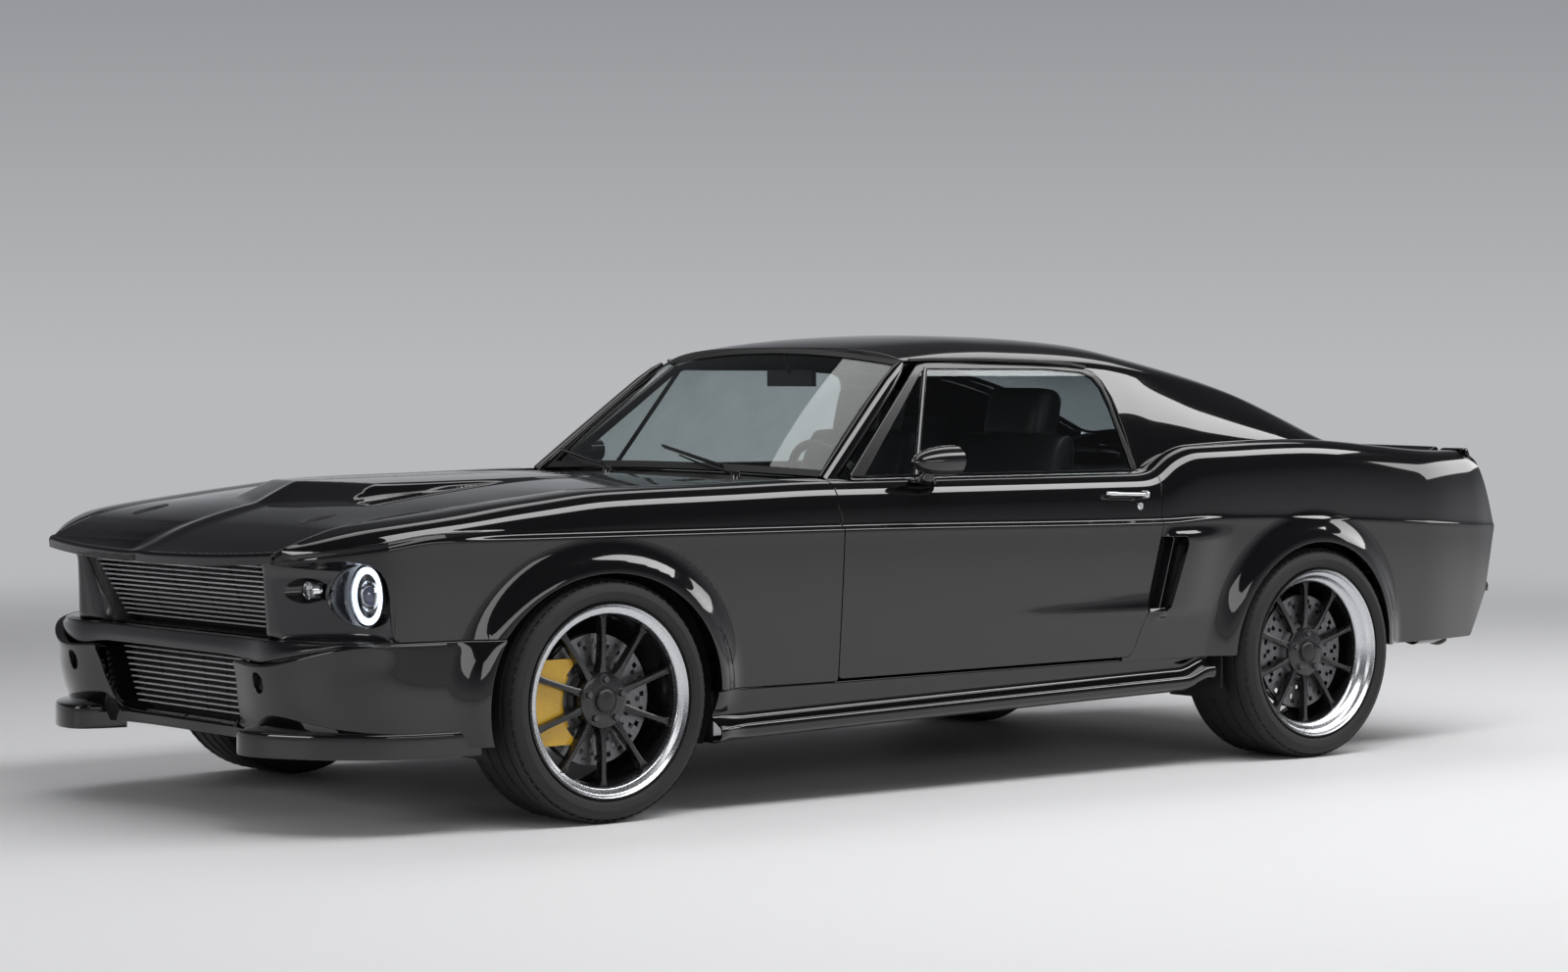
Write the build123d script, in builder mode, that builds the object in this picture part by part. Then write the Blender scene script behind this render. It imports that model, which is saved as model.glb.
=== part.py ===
"""Two-door fastback coupe: unit body, doors, lids, glass, running gear and cabin.

Frame: +X forward, +Y to the car's left, +Z up, millimetres. The origin is on the ground at
the middle of the length and width. The left side is modelled and the right side mirrors it.
"""
from build123d import *
from math import cos, hypot, pi, radians, sin
import os

os.makedirs("parts", exist_ok=True)

# ---- driving dimensions -------------------------------------------------------------------
OVERALL_LENGTH = 4690
WHEELBASE = 2743
REAR_OVERHANG = 1007
HALF_WIDTH = 888              # at the crease of the doors
ROOF_HEIGHT = 1328
FLARE_REACH = 40              # how far the wheel-arch flares stand out from the crease
BELT_HEIGHT = 905             # top of the door below the glass
SILL_HEIGHT = 345             # bottom edge of the doors

TYRE_RADIUS = 330
RIM_SEAT_RADIUS = 254
RIM_FLANGE_RADIUS = 266
TYRE_FACE_Y = 918             # outer sidewall of every tyre
FRONT_TYRE_WIDTH = 255
REAR_TYRE_WIDTH = 295
SPOKE_COUNT = 10
LUG_COUNT = 5
DISC_RADIUS = 178
KINGPIN_Y = 760
ARCH_CUT_Y = 690              # where the wheel openings begin

SHUT_GAP = 6                  # seam around doors, bonnet and boot lid
RUNNING_GAP = 5               # between the wheel and what it turns beside
SPINDLE_CLEARANCE = 1
SKIN_DEPTH = 85               # thickness of the body sides
DOOR_DEPTH = 120
PANEL = 30                    # thickness of floor, roof and lid panels
GLASS = 6

# ---- places along the car -----------------------------------------------------------------
NOSE_X = OVERALL_LENGTH / 2
TAIL_X = -OVERALL_LENGTH / 2
REAR_AXLE_X = TAIL_X + REAR_OVERHANG
FRONT_AXLE_X = REAR_AXLE_X + WHEELBASE
DOOR_FRONT_X = FRONT_AXLE_X - 833
DOOR_REAR_X = REAR_AXLE_X + 634
DOOR_HINGE_X = DOOR_FRONT_X - 30
HOOD_REAR_X = DOOR_FRONT_X + 368
DECK_FRONT_X = TAIL_X + 570
SCREEN_BASE_X = DOOR_FRONT_X - 30
HEADER_X = DOOR_FRONT_X - 453
BACKLIGHT_TOP_X = REAR_AXLE_X + 408
BACKLIGHT_BASE_X = TAIL_X + 645
FIREWALL_X = DOOR_FRONT_X + 90
HUB_Z = TYRE_RADIUS


def follow(x, stations):
    """Smooth curve through (place, value) stations that never overshoots between them."""
    stations = sorted(stations)
    if x <= stations[0][0]:
        return stations[0][1]
    if x >= stations[-1][0]:
        return stations[-1][1]
    slopes = [(b[1] - a[1]) / (b[0] - a[0]) for a, b in zip(stations, stations[1:])]
    tangents = [slopes[0]]
    for before, after in zip(slopes, slopes[1:]):
        level = before * after <= 0
        tangents.append(0 if level else 2 * before * after / (before + after))
    tangents.append(slopes[-1])
    for i in range(len(slopes)):
        (x0, v0), (x1, v1) = stations[i], stations[i + 1]
        if x <= x1:
            span = x1 - x0
            t = (x - x0) / span
            rise = v1 - v0
            ease = t * t * (3 - 2 * t)
            lead = t * (1 - t) * (1 - t) * span * tangents[i]
            trail = t * t * (t - 1) * span * tangents[i + 1]
            return v0 + rise * ease + lead + trail


# ---- rows of the body side ----------------------------------------------------------------
def crease_y(x):
    """Half width at the crease, in plan."""
    return follow(x, [
        (TAIL_X, HALF_WIDTH - 128), (TAIL_X + 150, HALF_WIDTH - 78),
        (TAIL_X + 450, HALF_WIDTH - 22), (REAR_AXLE_X, HALF_WIDTH - 2),
        (DOOR_REAR_X, HALF_WIDTH), (DOOR_FRONT_X, HALF_WIDTH), (FRONT_AXLE_X, HALF_WIDTH - 8),
        (FRONT_AXLE_X + 495, HALF_WIDTH - 22), (FRONT_AXLE_X + 655, HALF_WIDTH - 46),
    ])


def crease_z(x):
    return follow(x, [
        (TAIL_X, BELT_HEIGHT - 205), (DOOR_REAR_X - 196, BELT_HEIGHT - 142),
        (DOOR_REAR_X, BELT_HEIGHT - 150), (DOOR_FRONT_X, BELT_HEIGHT - 137),
        (FRONT_AXLE_X + 525, BELT_HEIGHT - 133), (FRONT_AXLE_X + 655, BELT_HEIGHT - 150),
    ])


def belt_z(x):
    """Height of the fender, door and hip tops."""
    return follow(x, [
        (TAIL_X + 150, BELT_HEIGHT + 18), (TAIL_X + 272, BELT_HEIGHT + 41),
        (REAR_AXLE_X, BELT_HEIGHT + 92), (DOOR_REAR_X - 172, BELT_HEIGHT + 78),
        (DOOR_REAR_X - 77, BELT_HEIGHT + 50), (DOOR_REAR_X, BELT_HEIGHT + 4),
        (DOOR_REAR_X + 60, BELT_HEIGHT), (DOOR_FRONT_X, BELT_HEIGHT),
        (HOOD_REAR_X, BELT_HEIGHT - 7), (FRONT_AXLE_X - 55, BELT_HEIGHT - 16),
        (FRONT_AXLE_X + 165, BELT_HEIGHT - 36), (FRONT_AXLE_X + 395, BELT_HEIGHT - 61),
        (FRONT_AXLE_X + 680, BELT_HEIGHT - 93), (FRONT_AXLE_X + 861, BELT_HEIGHT - 176),
    ])


def ledge_depth(x):
    """How deep the ledge above the crease steps in."""
    return follow(x, [
        (DOOR_REAR_X - 250, 3), (DOOR_REAR_X, 15), (FRONT_AXLE_X + 250, 15),
        (FRONT_AXLE_X + 525, 3),
    ])


def side_rows(x, low_z):
    """Outer points of the body side at x, from the bottom edge up to the belt's inner row."""
    width = crease_y(x)
    crease = crease_z(x)
    top = belt_z(x)
    rise = top - crease
    step = ledge_depth(x)
    height = crease - low_z
    return [
        (width - 28, low_z), (width - 12, low_z + 0.6 * height), (width, crease),
        (width - step, crease + 0.13 * rise), (width - step - 9, crease + 0.63 * rise),
        (width - step - 33, crease + 0.885 * rise), (width - 86, top), (width - 122, top + 3),
    ]


def shut_y(x):
    """Half width of the bonnet opening."""
    return follow(x, [
        (HOOD_REAR_X - 200, 690), (HOOD_REAR_X, 682), (FRONT_AXLE_X, 668),
        (FRONT_AXLE_X + 680, 642), (FRONT_AXLE_X + 861, 618),
    ])


def roof_z(x):
    """Centre line of the roof and of the fastback behind it."""
    return follow(x, [
        (HEADER_X, ROOF_HEIGHT - 41), (HEADER_X - 120, ROOF_HEIGHT - 20),
        (HEADER_X - 420, ROOF_HEIGHT), (HEADER_X - 620, ROOF_HEIGHT - 4),
        (HEADER_X - 860, ROOF_HEIGHT - 16), (BACKLIGHT_TOP_X, ROOF_HEIGHT - 52),
        (REAR_AXLE_X + 50, ROOF_HEIGHT - 136), (BACKLIGHT_BASE_X, BELT_HEIGHT + 115),
        (DECK_FRONT_X, BELT_HEIGHT + 75),
    ])


def roof_edge_y(x):
    return follow(x, [
        (HEADER_X, 578), (HEADER_X - 420, 592), (DOOR_REAR_X, 590), (REAR_AXLE_X, 575),
        (BACKLIGHT_BASE_X, 600),
    ])


def roof_edge_z(x):
    return follow(x, [
        (HEADER_X, ROOF_HEIGHT - 82), (HEADER_X - 330, ROOF_HEIGHT - 80),
        (HEADER_X - 735, ROOF_HEIGHT - 100), (DOOR_REAR_X - 150, ROOF_HEIGHT - 120),
        (REAR_AXLE_X + 50, ROOF_HEIGHT - 190), (BACKLIGHT_BASE_X, BELT_HEIGHT + 78),
    ])


def roof_rows(x, half_width=None, lower=0, count=4):
    """Points across the crowned roof at x, from the left edge to the right one."""
    edge = roof_edge_y(x)
    half_width = half_width or edge
    points = []
    for i in range(-count, count + 1):
        y = -half_width * i / count
        crown = (1 - min(abs(y) / edge, 1) ** 2.6) ** 0.62
        z = roof_edge_z(x) + (roof_z(x) - roof_edge_z(x)) * crown
        points.append((y, z - lower))
    return points


# ---- shared ways of making a piece --------------------------------------------------------
def side_slab(stations, low_z, depth, flange_y=None):
    """Body side between the first and last station; a flange reaches in to flange_y(x)."""
    with BuildPart() as slab:
        for x in stations:
            rows = side_rows(x, low_z)
            inner = crease_y(x) - depth
            reach = min(flange_y(x), inner - 20) if flange_y else inner - 20
            reach = min(reach, rows[-1][0] - 8)
            top = rows[-1][1]
            with BuildSketch(Plane.YZ.offset(x)):
                with BuildLine():
                    Spline(rows[:3])
                    Line(rows[2], rows[3])
                    Spline(rows[3:])
                    Polyline(
                        rows[-1], (reach, top + 2), (reach, top - PANEL),
                        (inner, top - PANEL - 20), (inner, low_z), rows[0],
                    )
                make_face()
        loft()
    return slab.part


def outline_prism(points, y_from, y_to):
    """Prism across the car from an (x, z) outline."""
    with BuildPart() as prism:
        with BuildSketch(Plane.XZ.offset(-y_from)):
            with BuildLine():
                Polyline(*points, close=True)
            make_face()
        extrude(amount=-(y_to - y_from))
    return prism.part


def plan_prism(points, z_from, z_to):
    """Upright prism from an (x, y) outline."""
    with BuildPart() as prism:
        with BuildSketch(Plane.XY.offset(z_from)):
            with BuildLine():
                Polyline(*points, close=True)
            make_face()
        extrude(amount=z_to - z_from)
    return prism.part


def plan_loft(low_points, low_z, high_points, high_z):
    """Straight-sided loft between two (x, y) outlines."""
    with BuildPart() as body:
        for points, z in ((low_points, low_z), (high_points, high_z)):
            with BuildSketch(Plane.XY.offset(z)):
                with BuildLine():
                    Polyline(*points, close=True)
                make_face()
        loft(ruled=True)
    return body.part


def both_sides(points):
    """Closed (x, y) outline from its left half, listed from the centre line outwards."""
    return points + [(x, -y) for x, y in reversed(points) if y > 0]


def box_between(x_range, y_range, z_range):
    """Box from its low and high corners."""
    size = [b - a for a, b in (x_range, y_range, z_range)]
    middle = [(a + b) / 2 for a, b in (x_range, y_range, z_range)]
    with BuildPart() as block:
        with Locations(tuple(middle)):
            Box(*size)
    return block.part


def cut_hole(x, z, radius_x, radius_z, y_from, y_to):
    """Elliptical prism across the car."""
    with BuildPart() as cutter:
        with BuildSketch(Plane.XZ.offset(-y_from)):
            with Locations((x, z)):
                Ellipse(radius_x, radius_z)
        extrude(amount=-(y_to - y_from))
    return cutter.part


def save(part, name):
    part.label = name
    export_step(part, f"parts/{name}.step")


def save_pair(left, stem):
    """Write the left piece and its mirror image."""
    save(left, f"{stem}_left")
    with BuildPart() as right:
        mirror(left, about=Plane.XZ)
    save(right.part, f"{stem}_right")


def main_solid(part):
    """The largest solid, without the offcuts that trimming leaves below the sills."""
    return part.solids().sort_by(SortBy.VOLUME)[-1]


# ---- wheel arches -------------------------------------------------------------------------
FRONT_ARCH = (388, 345)
REAR_ARCH = (354, 351)
HOUSE_RADIUS = 414
FLARE_BAND = 90
FLARE_LIP_Y = HALF_WIDTH + FLARE_REACH
OUTSIDE_Y = FLARE_LIP_Y + 100


def flare(x, arch):
    """Raised band around a wheel opening, tapering from the lip back to the panel."""
    with BuildPart() as band:
        for y, grow in ((HALF_WIDTH - 40, FLARE_BAND + 22), (FLARE_LIP_Y, 14)):
            with BuildSketch(Plane.XZ.offset(-y)):
                with Locations((x, HUB_Z)):
                    Ellipse(arch[0] + grow, arch[1] + grow)
        loft(ruled=True)
    return band.part


def arch_hole(x, arch):
    return cut_hole(x, HUB_Z, arch[0], arch[1], ARCH_CUT_Y, FLARE_LIP_Y + 50)


# ---- door outline -------------------------------------------------------------------------
DOOR_OUTLINE = [
    (DOOR_FRONT_X, SILL_HEIGHT), (DOOR_REAR_X + 144, SILL_HEIGHT + 8),
    (DOOR_REAR_X + 91, SILL_HEIGHT + 113), (DOOR_REAR_X + 26, SILL_HEIGHT + 414),
    (DOOR_REAR_X, BELT_HEIGHT - 20), (DOOR_REAR_X, BELT_HEIGHT + 200),
    (DOOR_FRONT_X, BELT_HEIGHT + 200),
]
JAMB_STEP = 10                # extra room for the deep inner rear edge to swing


def grown(points, rear, low):
    """Door outline moved back by rear and down by low."""
    middle = (DOOR_FRONT_X + DOOR_REAR_X) / 2
    return [(x - rear if x < middle else x, z - low if z < BELT_HEIGHT - 300 else z)
            for x, z in points]


SILL_TOP = SILL_HEIGHT - SHUT_GAP



# ---- fenders ------------------------------------------------------------------------------
FENDER_FRONT_X = FRONT_AXLE_X + 655
VALANCE_TOP = 470
LAMP_Y = 720
LAMP_Z = 628
LAMP_RADIUS = 80
LAMP_X = FENDER_FRONT_X - 5
LAMP_POCKET = 60
FENDER_STATIONS = [
    DOOR_FRONT_X + SHUT_GAP, HOOD_REAR_X - 120, HOOD_REAR_X + 160, FRONT_AXLE_X,
    FRONT_AXLE_X + 280, FRONT_AXLE_X + 495, FENDER_FRONT_X,
]

with BuildPart() as fender:
    add(side_slab(FENDER_STATIONS, SILL_TOP, SKIN_DEPTH, shut_y))
    add(flare(FRONT_AXLE_X, FRONT_ARCH))
    add(box_between((TAIL_X, NOSE_X), (0, OUTSIDE_Y), (-100, SILL_TOP)), mode=Mode.SUBTRACT)
    add(box_between((FRONT_AXLE_X, NOSE_X), (0, OUTSIDE_Y), (-100, VALANCE_TOP)),
        mode=Mode.SUBTRACT)
    add(arch_hole(FRONT_AXLE_X, FRONT_ARCH), mode=Mode.SUBTRACT)
    with BuildSketch(Plane.YZ.offset(LAMP_X - LAMP_POCKET)):
        with Locations((LAMP_Y, LAMP_Z)):
            Circle(LAMP_RADIUS + 6)
    extrude(amount=LAMP_POCKET + 20, mode=Mode.SUBTRACT)
fender_body = main_solid(fender.part)
save_pair(fender_body, "fender")

# ---- doors --------------------------------------------------------------------------------
DOOR_STATIONS = [
    DOOR_REAR_X - 20, DOOR_REAR_X + 130, DOOR_REAR_X + 600, DOOR_FRONT_X - 200,
    DOOR_FRONT_X + 20,
]
GLASS_FOOT_Y = 745
GLASS_HEAD_Y = 598
GLASS_HEAD_Z = ROOF_HEIGHT - 103
GLASS_FRONT_X = DOOR_FRONT_X - 155
GLASS_REAR_X = DOOR_REAR_X + 14
GLASS_SLOT = 24
glass_lean = (GLASS_FOOT_Y - GLASS_HEAD_Y) / (GLASS_HEAD_Z - BELT_HEIGHT)
SIDE_GLASS = [
    (GLASS_REAR_X, BELT_HEIGHT - GLASS_SLOT), (GLASS_REAR_X, GLASS_HEAD_Z - 50),
    (GLASS_REAR_X + 60, GLASS_HEAD_Z), (DOOR_FRONT_X - 560, GLASS_HEAD_Z - 6),
    (DOOR_FRONT_X - 525, GLASS_HEAD_Z - 22), (GLASS_FRONT_X, BELT_HEIGHT + 25),
    (GLASS_FRONT_X, BELT_HEIGHT - GLASS_SLOT),
]


def raised(foot, crown, y_foot, y_crown):
    """Low swelling of the body side between two (x, z) outlines."""
    with BuildPart() as swelling:
        for points, y in ((foot, y_foot), (crown, y_crown)):
            with BuildSketch(Plane.XZ.offset(-y)):
                with BuildLine():
                    Polyline(*points, close=True)
                make_face()
        loft(ruled=True)
    return swelling.part


def leaning_sheet(points, thick):
    """Flat sheet from an (x, z) outline, leaning in as the side glass does."""
    with BuildPart() as sheet:
        up = Vector(0, -glass_lean, 1).normalized()
        lean = Plane(origin=(0, GLASS_FOOT_Y, BELT_HEIGHT), x_dir=(1, 0, 0),
                     z_dir=Vector(1, 0, 0).cross(up))
        slope = hypot(1, glass_lean)
        with BuildSketch(lean):
            with BuildLine():
                Polyline(*[(x, (z - BELT_HEIGHT) * slope) for x, z in points], close=True)
            make_face()
        extrude(amount=thick / 2, both=True)
    return sheet.part


MIRROR_X = DOOR_FRONT_X - 357
MIRROR_Y = HALF_WIDTH + 4
MIRROR_Z = BELT_HEIGHT + 50

SCOOP_TOP = BELT_HEIGHT - 191
SCOOP_FOOT = BELT_HEIGHT - 420
SCOOP_DEPTH = 46
SCOOP_WIDTH = 90
HANDLE_X = DOOR_REAR_X + 165
HANDLE_Z = BELT_HEIGHT - 64
SPEAR_REAR = [(DOOR_REAR_X + 99, SCOOP_FOOT + 22), (DOOR_REAR_X + 106, SCOOP_FOOT - 22)]
SPEAR_FOOT = [(DOOR_FRONT_X - 520, SCOOP_FOOT + 3)] + SPEAR_REAR
SPEAR_CROWN = [(DOOR_FRONT_X - 760, SCOOP_FOOT + 1), (SPEAR_REAR[0][0], SCOOP_FOOT + 10),
               (SPEAR_REAR[1][0], SCOOP_FOOT - 8)]

with BuildPart() as door:
    add(side_slab(DOOR_STATIONS, SILL_HEIGHT, DOOR_DEPTH))
    add(raised(SPEAR_FOOT, SPEAR_CROWN, HALF_WIDTH - 40, HALF_WIDTH))
    add(outline_prism(DOOR_OUTLINE, HALF_WIDTH - 200, OUTSIDE_Y), mode=Mode.INTERSECT)
    add(box_between((DOOR_REAR_X - 60, DOOR_REAR_X + 14), (0, HALF_WIDTH - 45),
                    (SILL_HEIGHT, BELT_HEIGHT + 100)), mode=Mode.SUBTRACT)
    add(leaning_sheet(SIDE_GLASS, GLASS + 1), mode=Mode.SUBTRACT)
    with Locations((HANDLE_X, HALF_WIDTH - 24, HANDLE_Z)):
        Box(170, 44, 18)
save_pair(door.part, "door")

save_pair(leaning_sheet(SIDE_GLASS, GLASS), "door_glass")

MIRROR_SECTIONS = ((-62, 44), (-10, 46), (46, 35), (86, 12))    # (along, radius)

with BuildPart() as mirror_shell:
    for along, radius in MIRROR_SECTIONS:
        with BuildSketch(Plane.YZ.offset(MIRROR_X + along)):
            with Locations((MIRROR_Y, MIRROR_Z)):
                Circle(radius)
    loft()
    with BuildSketch(Plane.XY.offset(BELT_HEIGHT - 40)):
        with Locations((MIRROR_X + 10, MIRROR_Y - 34)):
            SlotOverall(60, 26)
    extrude(amount=MIRROR_Z - BELT_HEIGHT + 20)
    add(door.part, mode=Mode.SUBTRACT)
save_pair(main_solid(mirror_shell.part), "mirror")

# ---- rear quarters with the sail panels ---------------------------------------------------
QUARTER_FRONT_X = DOOR_REAR_X + 160
QUARTER_STEPS = 18
QUARTER_STATIONS = [
    TAIL_X + (QUARTER_FRONT_X - TAIL_X) * i / QUARTER_STEPS for i in range(QUARTER_STEPS + 1)
]
TAIL_OUTLINE = [
    (TAIL_X + 150, BELT_HEIGHT + 60), (TAIL_X + 84, BELT_HEIGHT + 11),
    (TAIL_X, BELT_HEIGHT - 208), (TAIL_X + 45, BELT_HEIGHT - 425),
    (TAIL_X + 138, SILL_HEIGHT - 19),
]
HIP_FLANGE = 668
DECK_HALF = 634
SAIL_STATIONS = [
    (DOOR_REAR_X - 30, 738, BELT_HEIGHT - 10), (DOOR_REAR_X - 90, 732, BELT_HEIGHT + 30),
    (DOOR_REAR_X - 330, 712, BELT_HEIGHT + 80), (REAR_AXLE_X, 700, BELT_HEIGHT + 84),
    (REAR_AXLE_X - 260, 690, BELT_HEIGHT + 70), (BACKLIGHT_BASE_X, 676, BELT_HEIGHT + 62),
]


def hip_flange(x):
    return follow(x, [(DOOR_REAR_X - 180, HIP_FLANGE), (DOOR_REAR_X, crease_y(x) - 125)])


with BuildPart() as sail:
    for x, foot_y, foot_z in SAIL_STATIONS:
        head_y = roof_edge_y(x) - 4
        head_z = roof_edge_z(x) - 2
        with BuildSketch(Plane.YZ.offset(x)):
            with BuildLine():
                bulge = ((foot_y + head_y) / 2 + 14, (foot_z + head_z) / 2)
                Spline((foot_y, foot_z - 20), bulge, (head_y, head_z))
                Polyline((head_y, head_z), (head_y - 50, head_z + 10),
                         (foot_y - 55, foot_z - 20), (foot_y, foot_z - 20))
            make_face()
    loft(ruled=True)

with BuildPart() as door_opening:
    add(outline_prism(grown(DOOR_OUTLINE, SHUT_GAP, SHUT_GAP), HALF_WIDTH - 60, OUTSIDE_Y))
    add(outline_prism(grown(DOOR_OUTLINE, SHUT_GAP + JAMB_STEP, SHUT_GAP),
                      HALF_WIDTH - 300, HALF_WIDTH - 45))

scoop_high_x = DOOR_REAR_X + 30
scoop_low_x = DOOR_REAR_X + 80


def scoop_band(ahead, behind):
    """Slanted (x, z) band of the air scoop, from its mouth's front edge back."""
    return [(scoop_high_x - ahead, SCOOP_TOP), (scoop_high_x - behind, SCOOP_TOP),
            (scoop_low_x - behind, SCOOP_FOOT), (scoop_low_x - ahead, SCOOP_FOOT)]


SCOOP_FLOOR_Y = HALF_WIDTH - SCOOP_DEPTH
CAP_FOOT_Z = BELT_HEIGHT + 10
TAIL_CAP = [(TAIL_X + 330, CAP_FOOT_Z + 25), (TAIL_X + 154, BELT_HEIGHT + 56),
            (TAIL_X + 128, BELT_HEIGHT + 52), (TAIL_X + 108, CAP_FOOT_Z),
            (TAIL_X + 330, CAP_FOOT_Z)]

with BuildPart() as quarter:
    add(side_slab(QUARTER_STATIONS, SILL_TOP, SKIN_DEPTH, hip_flange))
    add(raised(scoop_band(SCOOP_WIDTH, SCOOP_WIDTH + 190),
               scoop_band(SCOOP_WIDTH, SCOOP_WIDTH + 30), HALF_WIDTH - 20, HALF_WIDTH + 17))
    add(outline_prism(scoop_band(0, SCOOP_WIDTH), SCOOP_FLOOR_Y, OUTSIDE_Y),
        mode=Mode.SUBTRACT)
    add(outline_prism(scoop_band(SCOOP_WIDTH / 2 - 4, SCOOP_WIDTH / 2 + 4), SCOOP_FLOOR_Y - 5,
                      HALF_WIDTH - 4))
    add(door_opening.part, mode=Mode.SUBTRACT)
    add(sail.part)
    add(outline_prism(TAIL_CAP, DECK_HALF + SHUT_GAP, HALF_WIDTH - 118))
    add(flare(REAR_AXLE_X, REAR_ARCH))
    add(outline_prism(TAIL_OUTLINE + [(TAIL_X + 138, 0), (TAIL_X - 200, 0),
                                      (TAIL_X - 200, BELT_HEIGHT + 60)], 0, OUTSIDE_Y),
        mode=Mode.SUBTRACT)
    add(box_between((TAIL_X, NOSE_X), (0, OUTSIDE_Y), (-300, SILL_TOP)), mode=Mode.SUBTRACT)
    add(arch_hole(REAR_AXLE_X, REAR_ARCH), mode=Mode.SUBTRACT)
quarter_body = main_solid(quarter.part)
save_pair(quarter_body, "quarter_panel")

# ---- roof with the windscreen pillars -----------------------------------------------------
ROOF_STATIONS = [HEADER_X, HEADER_X - 180, HEADER_X - 500, DOOR_REAR_X - 90, BACKLIGHT_TOP_X]
PILLAR_FOOT = (SCREEN_BASE_X - 40, 722, BELT_HEIGHT - 12)
PILLAR_WIDTH = 46
SCREEN_LEAN_X = HEADER_X - 22


def crowned_strip(stations, half_width, thick, lower=0):
    """Crowned sheet lofted along the roof line."""
    with BuildPart() as strip:
        for x in stations:
            reach = half_width(x)
            over = roof_rows(x, reach, lower)
            under = [(y, z - thick) for y, z in reversed(over)]
            with BuildSketch(Plane.YZ.offset(x)):
                with BuildLine():
                    Spline(over)
                    Line(over[-1], under[0])
                    Spline(under)
                    Line(under[-1], over[0])
                make_face()
        loft()
    return strip.part


def pillar(foot, head, width, depth):
    """Straight pillar between two points, square in plan."""
    with BuildPart() as post:
        for x, y, z in (foot, head):
            with BuildSketch(Plane.XY.offset(z)):
                with Locations((x, y)):
                    Rectangle(depth, width)
        loft(ruled=True)
    return post.part


with BuildPart() as roof:
    add(crowned_strip(ROOF_STATIONS, roof_edge_y, PANEL))
    head = (SCREEN_LEAN_X, roof_edge_y(HEADER_X) - PILLAR_WIDTH / 2 + 2, ROOF_HEIGHT - 92)
    add(pillar(PILLAR_FOOT, head, PILLAR_WIDTH, 70))
    mirror(pillar(PILLAR_FOOT, head, PILLAR_WIDTH, 70), about=Plane.XZ)
    add(quarter_body, mode=Mode.SUBTRACT)
    mirror(quarter_body, about=Plane.XZ, mode=Mode.SUBTRACT)
save(main_solid(roof.part), "roof_panel")

# ---- windscreen and rear glass ------------------------------------------------------------
SCREEN_FOOT_Y = 688
SCREEN_BOW = 62               # how far the middle of the screen stands ahead of its corners


with BuildPart() as windscreen:
    rows = (
        (SCREEN_BASE_X - 46, SCREEN_BOW, SCREEN_FOOT_Y, BELT_HEIGHT + 6),
        (HEADER_X - 20, 26, roof_edge_y(HEADER_X) - 50, ROOF_HEIGHT - 84),
    )
    for x, bow, half_width, z in rows:
        with BuildSketch(Plane.XY.offset(z)):
            with BuildLine():
                ThreePointArc((x, -half_width), (x + bow, 0), (x, half_width))
                Line((x, half_width), (x - 14, half_width))
                ThreePointArc((x - 14, half_width), (x + bow - 14, 0), (x - 14, -half_width))
                Line((x - 14, -half_width), (x, -half_width))
            make_face()
    loft(ruled=True)
    add(roof.part, mode=Mode.SUBTRACT)
save(main_solid(windscreen.part), "windscreen")

BACKLIGHT_STATIONS = [
    BACKLIGHT_TOP_X - 2, BACKLIGHT_TOP_X - 190, REAR_AXLE_X, REAR_AXLE_X - 180,
    BACKLIGHT_BASE_X,
]


def backlight_half(x):
    return follow(x, [(BACKLIGHT_TOP_X, 500), (REAR_AXLE_X, 505), (BACKLIGHT_BASE_X, 530)])


with BuildPart() as rear_glass:
    add(crowned_strip(BACKLIGHT_STATIONS, backlight_half, GLASS, 10))
    add(quarter_body, mode=Mode.SUBTRACT)
    mirror(quarter_body, about=Plane.XZ, mode=Mode.SUBTRACT)
    add(roof.part, mode=Mode.SUBTRACT)
save(main_solid(rear_glass.part), "rear_glass")

# ---- cowl and firewall --------------------------------------------------------------------
COWL_Z = BELT_HEIGHT - 4
FLOOR_Z = 232
with BuildPart() as cowl:
    add(plan_prism(both_sides([
        (HOOD_REAR_X - SHUT_GAP, 0), (HOOD_REAR_X - SHUT_GAP, 676),
        (DOOR_FRONT_X + 12, 690), (SCREEN_BASE_X - 60, 690), (SCREEN_BASE_X + 12, 0),
    ]), COWL_Z - PANEL, COWL_Z))
    add(box_between((FIREWALL_X, FIREWALL_X + 20), (-640, 640),
                    (FLOOR_Z + PANEL, COWL_Z - PANEL / 2)))
    add(fender_body, mode=Mode.SUBTRACT)
    mirror(fender_body, about=Plane.XZ, mode=Mode.SUBTRACT)
    add(roof.part, mode=Mode.SUBTRACT)
    add(windscreen.part, mode=Mode.SUBTRACT)
cowl_body = main_solid(cowl.part)
save(cowl_body, "cowl")

# ---- bonnet with its scoop ----------------------------------------------------------------
HOOD_DROP = 16                # thickness of the bonnet
HOOD_STATIONS = [
    HOOD_REAR_X, HOOD_REAR_X + 250, FRONT_AXLE_X, FRONT_AXLE_X + 395, FRONT_AXLE_X + 680,
    FRONT_AXLE_X + 880,
]
NOSE_LIP_Z = 731


def hood_z(x):
    """Height of the bonnet's middle ridge."""
    return follow(x, [
        (HOOD_REAR_X, BELT_HEIGHT + 11), (HOOD_REAR_X + 300, BELT_HEIGHT + 4),
        (FRONT_AXLE_X, BELT_HEIGHT - 6), (FRONT_AXLE_X + 395, BELT_HEIGHT - 42),
        (FRONT_AXLE_X + 680, BELT_HEIGHT - 92), (NOSE_X - 14, NOSE_LIP_Z),
    ])


def hood_edge_z(x):
    """Height of the bonnet along its seam with the fender."""
    return belt_z(x) + 3


def hood_half(x):
    return shut_y(x) - SHUT_GAP


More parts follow.
